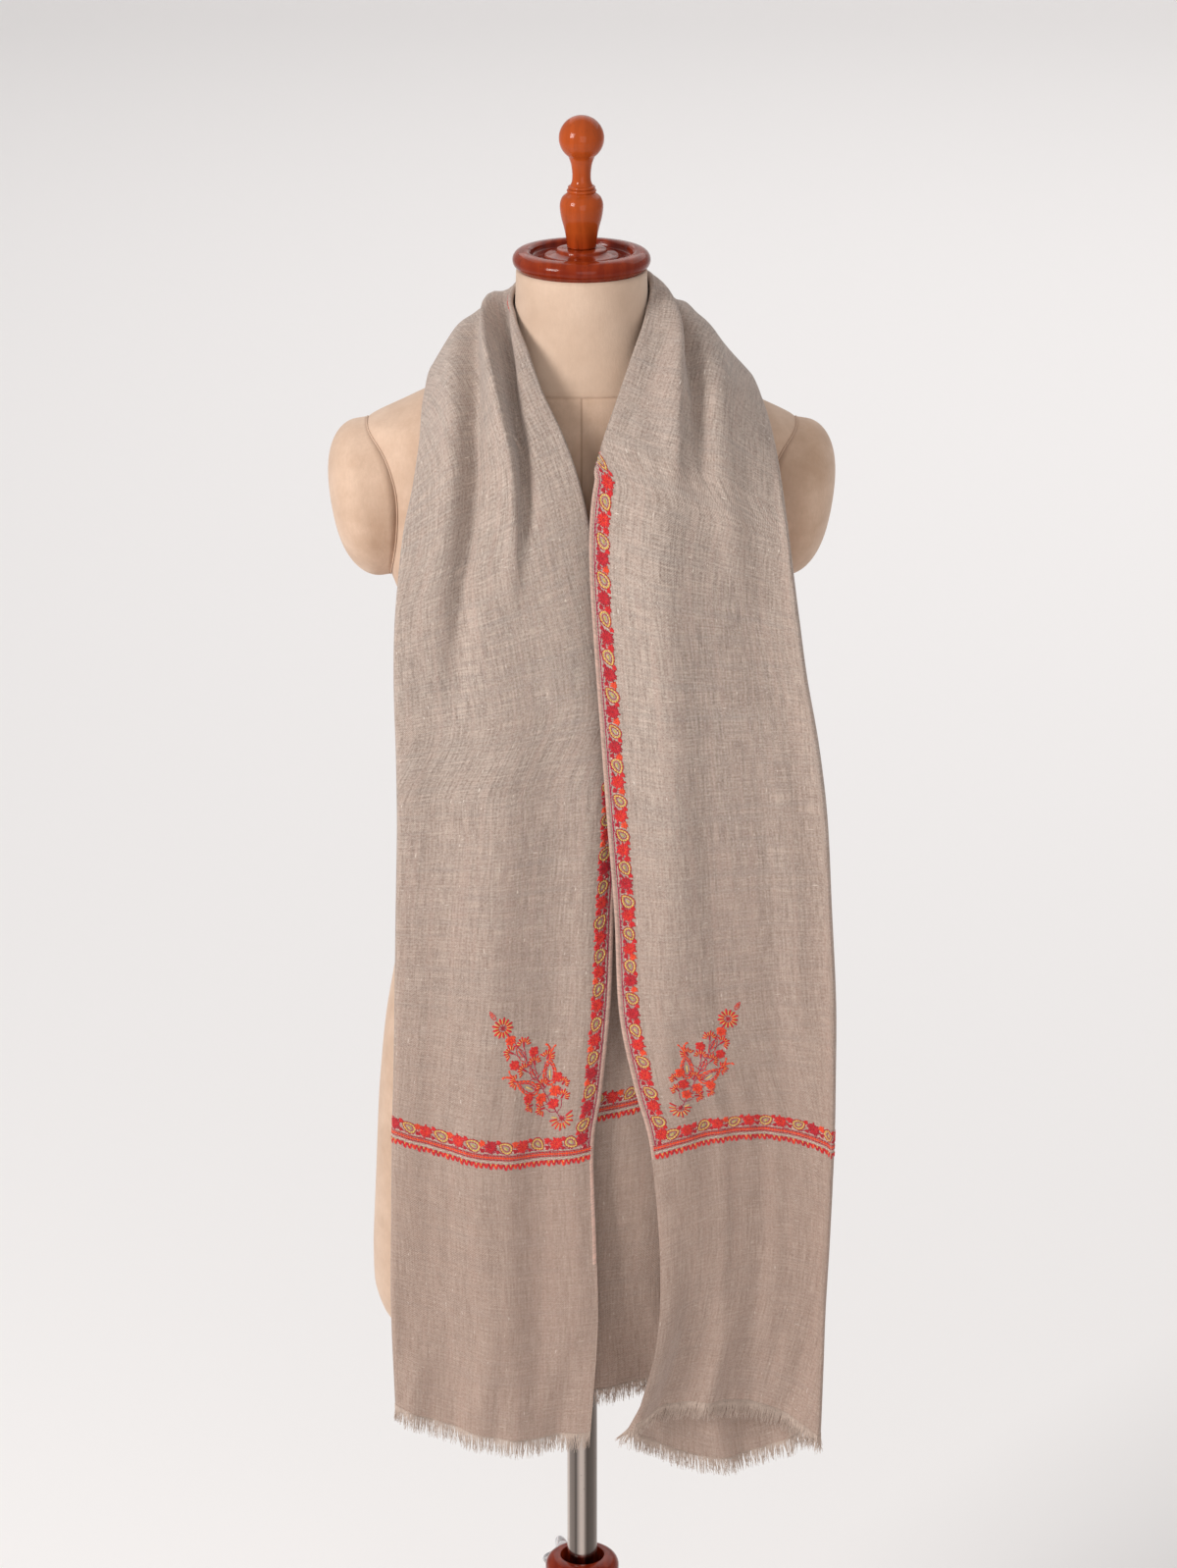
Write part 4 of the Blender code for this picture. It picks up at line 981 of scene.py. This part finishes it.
rows_count, columns_count = joined.shape[:2]
shawl = mesh_object("shawl", joined, grid_faces(rows_count, columns_count), pashmina)
layer = shawl.data.uv_layers.new(name="cloth")
corner = np.empty(len(shawl.data.loops), int)
shawl.data.loops.foreach_get("vertex_index", corner)
layer.data.foreach_set("uv", uv[corner].ravel())
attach(shawl, "form")
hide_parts("shawl_collar", "shawl_left_front", "shawl_left_back", "shawl_right_front",
            "shawl_right_back")


# ---- needlework ------------------------------------------------------------------------------
# Silk and wool stitches that lie in the cloth and show on both faces. Each is a slim raised
# lens between two points of the cloth, and a motif is a short list of stitches in millimetres.

RED, MAGENTA, ORANGE, YELLOW, GREEN, CREAM, PEACH, CRIMSON = range(8)
THREADS = np.array([(0.70, 0.018, 0.022), (0.47, 0.012, 0.075), (0.86, 0.085, 0.022),
                    (0.80, 0.56, 0.13), (0.56, 0.48, 0.16), (0.78, 0.63, 0.54),
                    (0.64, 0.445, 0.37), (0.52, 0.010, 0.028)])
Stitches = namedtuple("Stitches", "start stop width thread")


def sampler(end):
    """Cloth points and normals of an end on an even 1 mm grid across."""
    total = end["u"][:, -1]
    places = np.arange(0, total.max() + 0.004, 1 * MM)
    even_points = np.stack([
        np.stack([np.interp(places, u, p[:, axis]) for axis in range(3)], axis=1)
        for u, p in zip(end["u"], end["points"])])
    wide = np.gradient(even_points, axis=1)
    kernel = np.array([1, 2, 3, 2, 1]) / 9
    padded = np.pad(wide, ((0, 0), (2, 2), (0, 0)), mode="edge")
    wide = sum(k * padded[:, i:i + wide.shape[1]] for i, k in enumerate(kernel))
    down = np.gradient(even_points, axis=0)
    normal = np.cross(down, wide) * end["hand"]
    normal /= np.maximum(np.linalg.norm(normal, axis=-1, keepdims=True), 1e-12)
    end["even"], end["normal"], end["total"] = even_points, normal, total
    end["dv"] = end["v"][1]


def on_cloth(end, u, v, lift):
    """Points at u across and v along, raised by lift: between the four nearest cloth points."""
    fu = np.clip(u / MM, 0, end["even"].shape[1] - 1.001)
    fv = np.clip(v / end["dv"], 0, ROWS - 1.001)
    i, j = fv.astype(int), fu.astype(int)
    a, b = (fv - i)[..., None], (fu - j)[..., None]

    def read(field):
        return ((field[i, j] * (1 - b) + field[i, j + 1] * b) * (1 - a)
                + (field[i + 1, j] * (1 - b) + field[i + 1, j + 1] * b) * a)
    return read(end["even"]) + read(end["normal"]) * lift[..., None]


for end in (left, right):
    sampler(end)

LENS = np.array([(0.0, 0, 0), (0.16, 1, 0), (0.16, 0, 1), (0.16, -1, 0), (0.16, 0, -1),
                 (0.84, 1, 0), (0.84, 0, 1), (0.84, -1, 0), (0.84, 0, -1), (1.0, 0, 0)])
LENS_FACES = np.array([(0, 1, 2, 2), (0, 2, 3, 3), (0, 3, 4, 4), (0, 4, 1, 1),
                       (1, 5, 6, 2), (2, 6, 7, 3), (3, 7, 8, 4), (4, 8, 5, 1),
                       (9, 6, 5, 5), (9, 7, 6, 6), (9, 8, 7, 7), (9, 5, 8, 8)])


def sew(name, end, stitches, mat, height=0.34):
    """One joined mesh of stitches given in cloth metres, coloured by thread."""
    run = stitches.stop - stitches.start
    length = np.maximum(np.linalg.norm(run, axis=1), 1e-6)
    side = np.stack([-run[:, 1], run[:, 0]], axis=1) / length[:, None]
    half = stitches.width / 2
    u = (stitches.start[:, 0:1] + run[:, 0:1] * LENS[None, :, 0]
         + side[:, 0:1] * half[:, None] * LENS[None, :, 1])
    v = (stitches.start[:, 1:2] + run[:, 1:2] * LENS[None, :, 0]
         + side[:, 1:2] * half[:, None] * LENS[None, :, 1])
    lift = LENS[None, :, 2] * np.clip(half[:, None] * 1.1, height * MM, 0.6 * MM)
    points = on_cloth(end, u, v, lift)
    count = len(run)
    quads = (LENS_FACES[None] + 10 * np.arange(count)[:, None, None]).reshape(-1, 4)
    faces = [[q[0], q[1], q[2]] if q[2] == q[3] else list(q) for q in quads.tolist()]
    if end["hand"] < 0:
        faces = [f[::-1] for f in faces]
    obj = mesh_object(name, points, faces, mat)
    shade = rng.uniform(0.86, 1.12, (count, 1))
    color = np.concatenate([np.clip(THREADS[stitches.thread] * shade, 0, 1), np.ones((count, 1))],
                           axis=1)
    attribute = obj.data.color_attributes.new("thread", "FLOAT_COLOR", "POINT")
    attribute.data.foreach_set("color", np.repeat(color, 10, axis=0).ravel())
    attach(obj, "form")
    return obj


silk, tree, shader = finish("needlework_thread", (0.7, 0.03, 0.03), 0.55, Sheen_Weight=0.25,
                            Specular_IOR_Level=0.35)
thread_color = node(tree, "ShaderNodeVertexColor", layer_name="thread").outputs[0]
place = object_place(tree)
strand = noise(tree, place, 2600, 2, 0.5)
tree.links.new(blend(tree, spread(tree, strand, 0.3, 0.7, 0, 0.35), thread_color, (0.05, 0.01, 0.01),
                     "SOFT_LIGHT"), shader.inputs["Base Color"])
relief(tree, shader, strand, 0.3, 0.0003)


def chain(points, width, thread):
    """Stitches end to end along a line of points: rows of x0 y0 x1 y1 width thread."""
    points = np.asarray(points, float)
    count = len(points) - 1
    return np.column_stack([points[:-1], points[1:], np.full(count, width), np.full(count, thread)])


def spokes(radius, count, width, thread, start=0.12, sweep_deg=360, facing=0.0, uneven=0.12):
    """Straight stitches that fan out of a centre, through a full turn or part of one."""
    full = sweep_deg >= 360
    a = np.radians(facing + np.linspace(-sweep_deg / 2, sweep_deg / 2, count, endpoint=not full))
    far = radius * (1 + uneven * np.cos(np.arange(count) * 2.4))
    way = np.column_stack([np.cos(a), np.sin(a)])
    return np.column_stack([way * radius * start, way * far[:, None], np.full(count, width),
                            np.full(count, thread)])


def teardrop(length, breadth, count):
    """Leaf outline: x is a cosine, y a sine that narrows to a point at one end."""
    a = np.linspace(0, 2 * math.pi, count + 1)
    return np.column_stack([length / 2 * np.cos(a),
                            breadth / 2 * 1.18 * np.sin(a) * np.sin(a / 2) ** 0.6])


def moved(motif, x, y, turn_deg=0.0, scale=1.0):
    """A motif turned about its centre, scaled and set down at x, y."""
    c, s = math.cos(math.radians(turn_deg)) * scale, math.sin(math.radians(turn_deg)) * scale
    m = motif.copy()
    for k in (0, 2):
        m[:, k] = x + c * motif[:, k] - s * motif[:, k + 1]
        m[:, k + 1] = y + s * motif[:, k] + c * motif[:, k + 1]
    m[:, 4] *= scale ** 0.5
    return m


def leaf_motif():
    """A leaf in four rounds: crimson, yellow, crimson again, and a pale green middle."""
    green = np.array([(-2.6, 0.1, 1.6, 0.0, 1.2, GREEN), (-2.2, -0.9, 0.9, -0.6, 0.8, YELLOW)])
    return np.vstack([chain(teardrop(13.0, 9.8, 16), 1.0, CRIMSON),
                      chain(teardrop(10.8, 7.6, 14), 1.45, YELLOW),
                      chain(teardrop(7.6, 4.6, 12), 0.8, CRIMSON), green])


def carnation_motif(radius, light=ORANGE, dark=RED):
    """A dense round blossom: long outer stitches, shorter ones over them, a small heart."""
    return np.vstack([spokes(radius, 17, 1.75, dark, 0.3, uneven=0.16),
                      spokes(radius * 0.74, 10, 1.2, light, 0.25, facing=17, uneven=0.2),
                      spokes(radius * 0.45, 6, 1.3, dark, 0.0, facing=8)])


def bud_motif(radius=2.1, thread=ORANGE):
    return spokes(radius, 8, 1.6, thread, 0.0, uneven=0.2)


PITCH = 27.6
VINE_MIDDLE = 11.4


def vine_repeat():
    """One repeat of the vine, x along the edge and y away from it."""
    flip = rng.uniform() < 0.5
    wobble = rng.uniform(-1, 1, 6)
    blossom = (ORANGE, RED) if rng.uniform() < 0.55 else (RED, CRIMSON)
    parts = [moved(leaf_motif(), 0.4 * wobble[0], VINE_MIDDLE + 0.3 * wobble[1],
                   38 * (1 if flip else 0.6) + 7 * wobble[2] + 180 * flip, 1 + 0.05 * wobble[3]),
             moved(carnation_motif(5.7, *blossom), 12.6 + 0.5 * wobble[4], VINE_MIDDLE - 0.2,
                   40 * wobble[5]),
             moved(bud_motif(3.1, RED if rng.uniform() < 0.6 else ORANGE), 19.9,
                   VINE_MIDDLE + 2.4, 30 * wobble[0]),
             moved(bud_motif(2.1, CRIMSON), 19.4, VINE_MIDDLE - 3.2, 25 * wobble[3]),
             moved(bud_motif(1.9, RED), 6.6, VINE_MIDDLE + 4.0),
             moved(bud_motif(1.6, CRIMSON), 6.4, VINE_MIDDLE - 3.9)]
    x = np.linspace(-PITCH / 2, PITCH / 2, 12)
    stem = np.column_stack([x + PITCH / 4, VINE_MIDDLE - 5.3 + 1.1 * np.cos(2 * math.pi * x / PITCH)])
    parts.append(chain(stem, 0.95, MAGENTA))
    parts.append(np.array([(5.6, VINE_MIDDLE - 4.4, 8.4, VINE_MIDDLE - 1.6, 0.6, MAGENTA),
                           (18.2, VINE_MIDDLE - 3.6, 19.4, VINE_MIDDLE + 1.6, 0.6, MAGENTA),
                           (20.6, VINE_MIDDLE - 4.6, 22.4, VINE_MIDDLE - 2.4, 0.75, CREAM),
                           (18.4, VINE_MIDDLE - 1.8, 20.6, VINE_MIDDLE - 0.8, 0.7, CREAM),
                           (21.2, VINE_MIDDLE - 1.4, 21.9, VINE_MIDDLE + 0.9, 0.7, CREAM),
                           (5.4, VINE_MIDDLE + 0.4, 7.2, VINE_MIDDLE + 1.7, 0.7, CREAM),
                           (-6.8, VINE_MIDDLE - 3.4, -5.0, VINE_MIDDLE - 4.2, 0.7, CREAM)]))
    return np.vstack(parts)


def line_of(first, last, y, width, thread, stitch=2.6, slant=0.0):
    """A row of stitches along an edge from x = first to x = last."""
    x = np.linspace(first, last, max(2, int((last - first) / stitch) + 1))
    count = len(x) - 1
    return np.column_stack([x[:-1], np.full(count, y - slant), x[1:] + 0.2, np.full(count, y + slant),
                            np.full(count, width), np.full(count, thread)])


def as_stitches(table, u, v):
    """Motif rows to stitches, with the functions that give u and v for x and y in metres."""
    x0, y0, x1, y1 = (table[:, k] * MM for k in range(4))
    jitter = rng.normal(0, 0.07 * MM, (4, len(table)))
    start = np.column_stack([u(x0, y0) + jitter[0], v(x0, y0) + jitter[1]])
    stop = np.column_stack([u(x1, y1) + jitter[2], v(x1, y1) + jitter[3]])
    return Stitches(start, stop, table[:, 4] * MM, table[:, 5].astype(int))


def joined_stitches(several):
    return Stitches(*(np.concatenate([getattr(s, field) for s in several])
                      for field in Stitches._fields))


# ---- borders along both long edges -------------------------------------------------------------
# A vine of leaves, carnations and buds between the overcast edge and the plain ground, with
# fine magenta and cream lines beside the overcasting. It stops at the band above each hem.

BAND_ROW = 16
for label, end in (("left", left), ("right", right)):
    end["band"] = float(np.interp(BAND_ROW, end["rows"], end["v"]))
    repeats = int(end["band"] / (PITCH * MM)) + 1
    start_x = end["band"] / MM - (repeats - 0.18) * PITCH
    borders = []
    for far_edge in (False, True):
        vine = np.vstack([moved(vine_repeat(), start_x + PITCH * k, 0) for k in range(repeats)])
        low, high = 0, end["band"] / MM
        vine = np.vstack([vine, line_of(low, high, 4.4, 0.95, MAGENTA),
                          line_of(low, high, 5.4, 0.4, CREAM, 3.2)])
        vine = vine[(vine[:, 0] > low) & (vine[:, 2] > low) & (vine[:, 0] < high - 3)]
        if far_edge:
            borders.append(as_stitches(
                vine, lambda x, y, end=end: np.interp(x, end["v"], end["total"]) - y,
                lambda x, y: x))
        else:
            borders.append(as_stitches(vine, lambda x, y: y, lambda x, y: x))
    sew(f"vine_border_{label}", end, joined_stitches(borders), silk)


# ---- overcast edges ---------------------------------------------------------------------------
# The long edges are whipped over in peach wool, close and slanting, down past the band above
# each hem, and a finger's length further on the left.

OVERCAST_PITCH, OVERCAST_DEPTH = 1.15, 3.5
for label, end, below_band in (("left", left, 0.100), ("right", right, 0.008)):
    reach_mm = (end["band"] + below_band) / MM
    x = np.arange(0.5, reach_mm, OVERCAST_PITCH)
    slants = np.column_stack([x, np.full_like(x, 0.05), x + 1.3, np.full_like(x, OVERCAST_DEPTH),
                              np.full_like(x, 1.25), np.full_like(x, PEACH)])
    slants[:, 3] += rng.normal(0, 0.18, len(x))
    whipped = [as_stitches(slants, lambda x, y: y, lambda x, y: x),
               as_stitches(slants, lambda x, y, end=end: np.interp(x, end["v"], end["total"]) - y,
                           lambda x, y: x)]
    sew(f"overcast_edges_{label}", end, joined_stitches(whipped), silk, 0.5)


# ---- bands above the hems ----------------------------------------------------------------------
# The same vine turned along the hem, over a corded line of crimson and orange, a cream wave and
# a serrated row of red, orange and crimson points.

def serrated(first, last):
    """Small points hanging side by side, each of two slanting stitches round a short one."""
    parts = []
    cycle = (RED, ORANGE, RED, CRIMSON, RED, ORANGE, CRIMSON)
    for k, x in enumerate(np.arange(first, last, 4.1)):
        thread = cycle[k % len(cycle)]
        tip = -9.7 - 0.6 * (k % 3)
        parts.append([x - 1.7, -4.9, x - 0.1, tip, 1.9, RED])
        parts.append([x + 1.6, -5.0, x + 0.2, tip + 0.4, 1.9, thread])
        parts.append([x, -5.2, x + 0.1, -7.4, 0.9, YELLOW if k % 3 else ORANGE])
        parts.append([x + 1.9, -4.7, x + 2.2, -7.2, 1.3, CRIMSON])
    return np.array(parts)


for label, end in (("left", left), ("right", right)):
    width_mm = float(np.interp(end["band"], end["v"], end["total"])) / MM
    repeats = int((width_mm - 8) / PITCH)
    vine = np.vstack([moved(vine_repeat(), 20 + PITCH * k, -2.6) for k in range(repeats)])
    wave_x = np.arange(4, width_mm - 4, 2.0)
    wave = np.column_stack([wave_x, -3.7 + 0.55 * np.sin(wave_x * 2 * math.pi / 7)])
    band = np.vstack([vine[vine[:, 1] > 2.6],
                      line_of(2, width_mm - 2, 1.7, 1.15, CRIMSON, 2.8, 0.12),
                      line_of(2, width_mm - 2, 0, 2.0, ORANGE, 2.0, 0.35),
                      line_of(2, width_mm - 2, -1.7, 1.15, CRIMSON, 2.8, 0.12),
                      line_of(6, width_mm - 6, 3.6, 0.55, CREAM, 3.0, 0.3),
                      chain(wave, 0.6, CREAM), serrated(5, width_mm - 5)])
    sew(f"hem_band_{label}", end,
        as_stitches(band, lambda x, y: x, lambda x, y, end=end: end["band"] - y), silk)


# ---- corner sprays -----------------------------------------------------------------------------
# A leaning spray in each corner: a bud and a rayed flower at the tip, blossoms either side of a
# magenta stem, a pointed bud, two hooked orange leaves, and a rayed flower half open at the foot.

def rayed(radius, count=13, sweep_deg=360, facing=0.0):
    """Flower of narrow petals, each a red outline stitch pair with a yellow one between."""
    rim = spokes(radius, count, 1.9, RED, 0.3, sweep_deg, facing, 0.05)
    petals = spokes(radius * 0.86, count, 0.9, YELLOW, 0.4, sweep_deg, facing + 180 / count, 0.05)
    heart = spokes(radius * 0.3, 7, 1.1, CRIMSON, 0.0)
    return np.vstack([rim, petals, heart])


def hooked_leaf(length):
    """Paisley leaf: double orange outline, yellow middle, and a tip that hooks back."""
    hook = np.array([(length * 0.5, 0), (length * 0.8, 1.0), (length * 1.05, -0.6),
                     (length * 1.12, -3.4)])
    spur = np.array([(length * 0.72, 0.6), (length * 0.95, 3.4), (length * 1.05, 5.6)])
    return np.vstack([chain(teardrop(length, length * 0.5, 16), 1.9, ORANGE),
                      chain(teardrop(length * 0.76, length * 0.32, 13), 1.3, RED),
                      np.array([(-length * 0.26, 0, length * 0.12, 0, 0.9, YELLOW)]),
                      chain(hook, 1.9, ORANGE), chain(spur, 1.6, ORANGE)])


def fan_motif(radius):
    """Carnation seen from the side: rays over a little more than a half turn, and a calyx."""
    return np.vstack([spokes(radius, 8, 1.6, RED, 0.3, 170),
                      spokes(radius * 0.8, 7, 0.75, YELLOW, 0.45, 150),
                      np.array([(-radius * 0.35, 0, radius * 0.45, 0, 1.9, CRIMSON)])])


Piece = namedtuple("Piece", "kind along across size turn")
SPRAY = [
    # kind, distance up the spray, distance across, size (mm), turn (degrees)
    Piece("pointed", 118, 1, 8, 90), Piece("rayed", 104, 0, 9.2, 90),
    Piece("blossom", 91, 0.5, 4.4, 0), Piece("fan", 82, 5.5, 6.8, 60),
    Piece("fan", 81, -6, 7.0, 120), Piece("pointed", 76, 0, 15, 90),
    Piece("blossom", 72, 9, 4.2, 0), Piece("blossom", 70.5, -9.5, 4.2, 0),
    Piece("fan", 63, 4.5, 6.6, 65), Piece("fan", 62, -5, 6.6, 115),
    Piece("pointed", 55, 0.3, 13, 90), Piece("fan", 60, 15, 6.4, 35),
    Piece("fan", 58.5, -16, 6.6, 145), Piece("leaf", 49, 10, 21, 64),
    Piece("leaf", 47, -11, 21, 121), Piece("blossom", 41, 14, 4.2, 0),
    Piece("blossom", 40, -14, 4.2, 0), Piece("fan", 41, -1.0, 7.0, 92), Piece("fan", 34, 15, 5.6, 20),
    Piece("fan", 33, -15, 5.6, 160),
    Piece("blossom", 33, 5.8, 4.6, 0), Piece("blossom", 31.5, -6.4, 4.6, 0),
    Piece("fan", 25, 8.5, 6.4, 25), Piece("fan", 24, -9, 6.4, 155),
    Piece("blossom", 23, 0, 4.6, 0), Piece("half", 8, 0, 10, -80),
]


def spray():
    """The whole spray, x across and y up from its foot."""
    makers = {
        "rayed": lambda p: rayed(p.size),
        "blossom": lambda p: carnation_motif(p.size, *rng.permutation([ORANGE, RED])),
        "fan": lambda p: fan_motif(p.size),
        "leaf": lambda p: hooked_leaf(p.size),
        "half": lambda p: rayed(p.size, 9, 210),
        "pointed": lambda p: np.vstack([chain(teardrop(p.size, p.size * 0.4, 9), 0.9, RED),
                                        np.array([(-p.size * 0.25, 0, p.size * 0.3, 0, 1.2, ORANGE)])]),
    }
    parts = [moved(makers[p.kind](p), p.across, p.along, p.turn) for p in SPRAY]
    y = np.linspace(8, 98, 34)
    parts.append(chain(np.column_stack([1.3 * np.sin(y / 17), y]), 0.95, MAGENTA))
    for p in SPRAY:
        if abs(p.across) > 3:
            root = np.array([1.3 * math.sin((p.along - 8) / 17), p.along - 9])
            tip = np.array([p.across * 0.8, p.along - 1.5])
            bow = (root + tip) / 2 + [0.12 * p.across, -1.5]
            parts.append(chain([root, (root + bow * 2) / 3, bow, (bow + tip) / 2, tip], 0.8, MAGENTA))
    return np.vstack(parts)


SPRAY_LEAN = 37
Spray = namedtuple("Spray", "end far_edge from_edge above_band")
for name, s in (("corner_spray_left", Spray(left, False, 26, 23)),
                ("corner_spray_right", Spray(right, False, 27, 25)),
                ("corner_spray_left_back", Spray(left, True, 26, 23)),
                ("corner_spray_right_back", Spray(right, True, 26, 23))):
    table = moved(spray(), s.from_edge, s.above_band, -SPRAY_LEAN)

    def across_of(x, y, s=s):
        if s.far_edge:
            return np.interp(s.end["band"] - y, s.end["v"], s.end["total"]) - x
        return x
    sew(name, s.end, as_stitches(table, across_of, lambda x, y, s=s: s.end["band"] - y), silk)


# ---- frayed hems -------------------------------------------------------------------------------
# Both hems are cut and frayed: the weft is drawn out for a finger's width, and the loose warp
# ends drift and cling in tufts. Each thread is a thin tapering tube.

FRINGE = 14
THREAD_RADIUS = 0.29
yarn, tree, shader = finish("frayed_yarn", (0.50, 0.42, 0.37), 0.9, Sheen_Weight=0.3,
                            Specular_IOR_Level=0.15)
place = object_place(tree)
fuzz = noise(tree, place, 700, 2, 0.6)
tree.links.new(blend(tree, fuzz, (0.44, 0.33, 0.27), (0.68, 0.54, 0.455)),
               shader.inputs["Base Color"])
relief(tree, shader, fuzz, 0.2, 0.0002)


def thread_mesh(name, paths, radii, mat):
    """Joined three-sided tubes along many paths of equal point count: (threads, points, 3)."""
    ahead = unit(np.gradient(paths, axis=1))
    side = unit(np.cross(ahead, np.broadcast_to([0.31, -0.9, 0.12], ahead.shape)))
    other = np.cross(ahead, side)
    a = np.linspace(0, 2 * math.pi, 4)[:-1]
    ring = (side[:, :, None] * np.cos(a)[:, None] + other[:, :, None] * np.sin(a)[:, None])
    points = paths[:, :, None] + ring * radii[:, :, None, None]
    threads, steps = paths.shape[:2]
    single = grid_faces(steps, 3, around=True)
    quads = (np.array(single)[None] + 3 * steps * np.arange(threads)[:, None, None])
    caps = np.array([[0, 1, 2][::-1], [3 * steps - 3, 3 * steps - 2, 3 * steps - 1]])
    caps = (caps[None] + 3 * steps * np.arange(threads)[:, None, None]).reshape(-1, 3).tolist()
    return mesh_object(name, points, quads.reshape(-1, 4).tolist() + caps, mat)


for label, end in (("left", left), ("right", right)):
    total = float(end["total"][-1])
    spacing = 0.34 * MM
    root_u = np.arange(0.6 * MM, total - 0.6 * MM, spacing)
    count = len(root_u)
    root_u = root_u + rng.normal(0, 0.18 * MM, count)
    steps = 6
    share = np.linspace(0, 1, steps)
    hem_v = end["length"]
    tuft = np.round(root_u / (4.6 * MM) + 0.35 * np.sin(root_u * 900)) * 4.6 * MM
    cling = rng.uniform(0.15, 0.85, count)
    length = FRINGE * MM * np.clip(rng.normal(0.93, 0.17, count), 0.35, 1.18)
    drift = np.cumsum(rng.normal(0, 0.22 * MM, (count, steps)), axis=1)
    u = (root_u[:, None] + (tuft - root_u)[:, None] * cling[:, None] * share[None] ** 1.4
         + drift * share[None] * 1.6)
    roots = on_cloth(end, root_u, np.full(count, hem_v - 1.2 * MM), np.zeros(count))
    at_hem = on_cloth(end, np.clip(u, 0, total), np.full_like(u, hem_v), np.zeros_like(u))
    above = on_cloth(end, np.clip(u, 0, total), np.full_like(u, hem_v - 8 * MM), np.zeros_like(u))
    down = unit(at_hem - above)
    bend_out = rng.normal(0, 0.9 * MM, (count, 1)) * share[None] ** 2
    normal = unit(np.cross(down, np.gradient(at_hem, axis=0) + 1e-9))
    paths = at_hem + down * (length[:, None] * share[None])[..., None] + normal * bend_out[..., None]
    paths[:, 0] = roots
    radii = THREAD_RADIUS * MM * (1 - 0.55 * share)[None] * rng.uniform(0.8, 1.25, (count, 1))
    fringe = thread_mesh(f"frayed_hem_{label}", paths, radii, yarn)
    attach(fringe, "form")
    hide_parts(f"fringe_{label}_front", f"fringe_{label}_back")
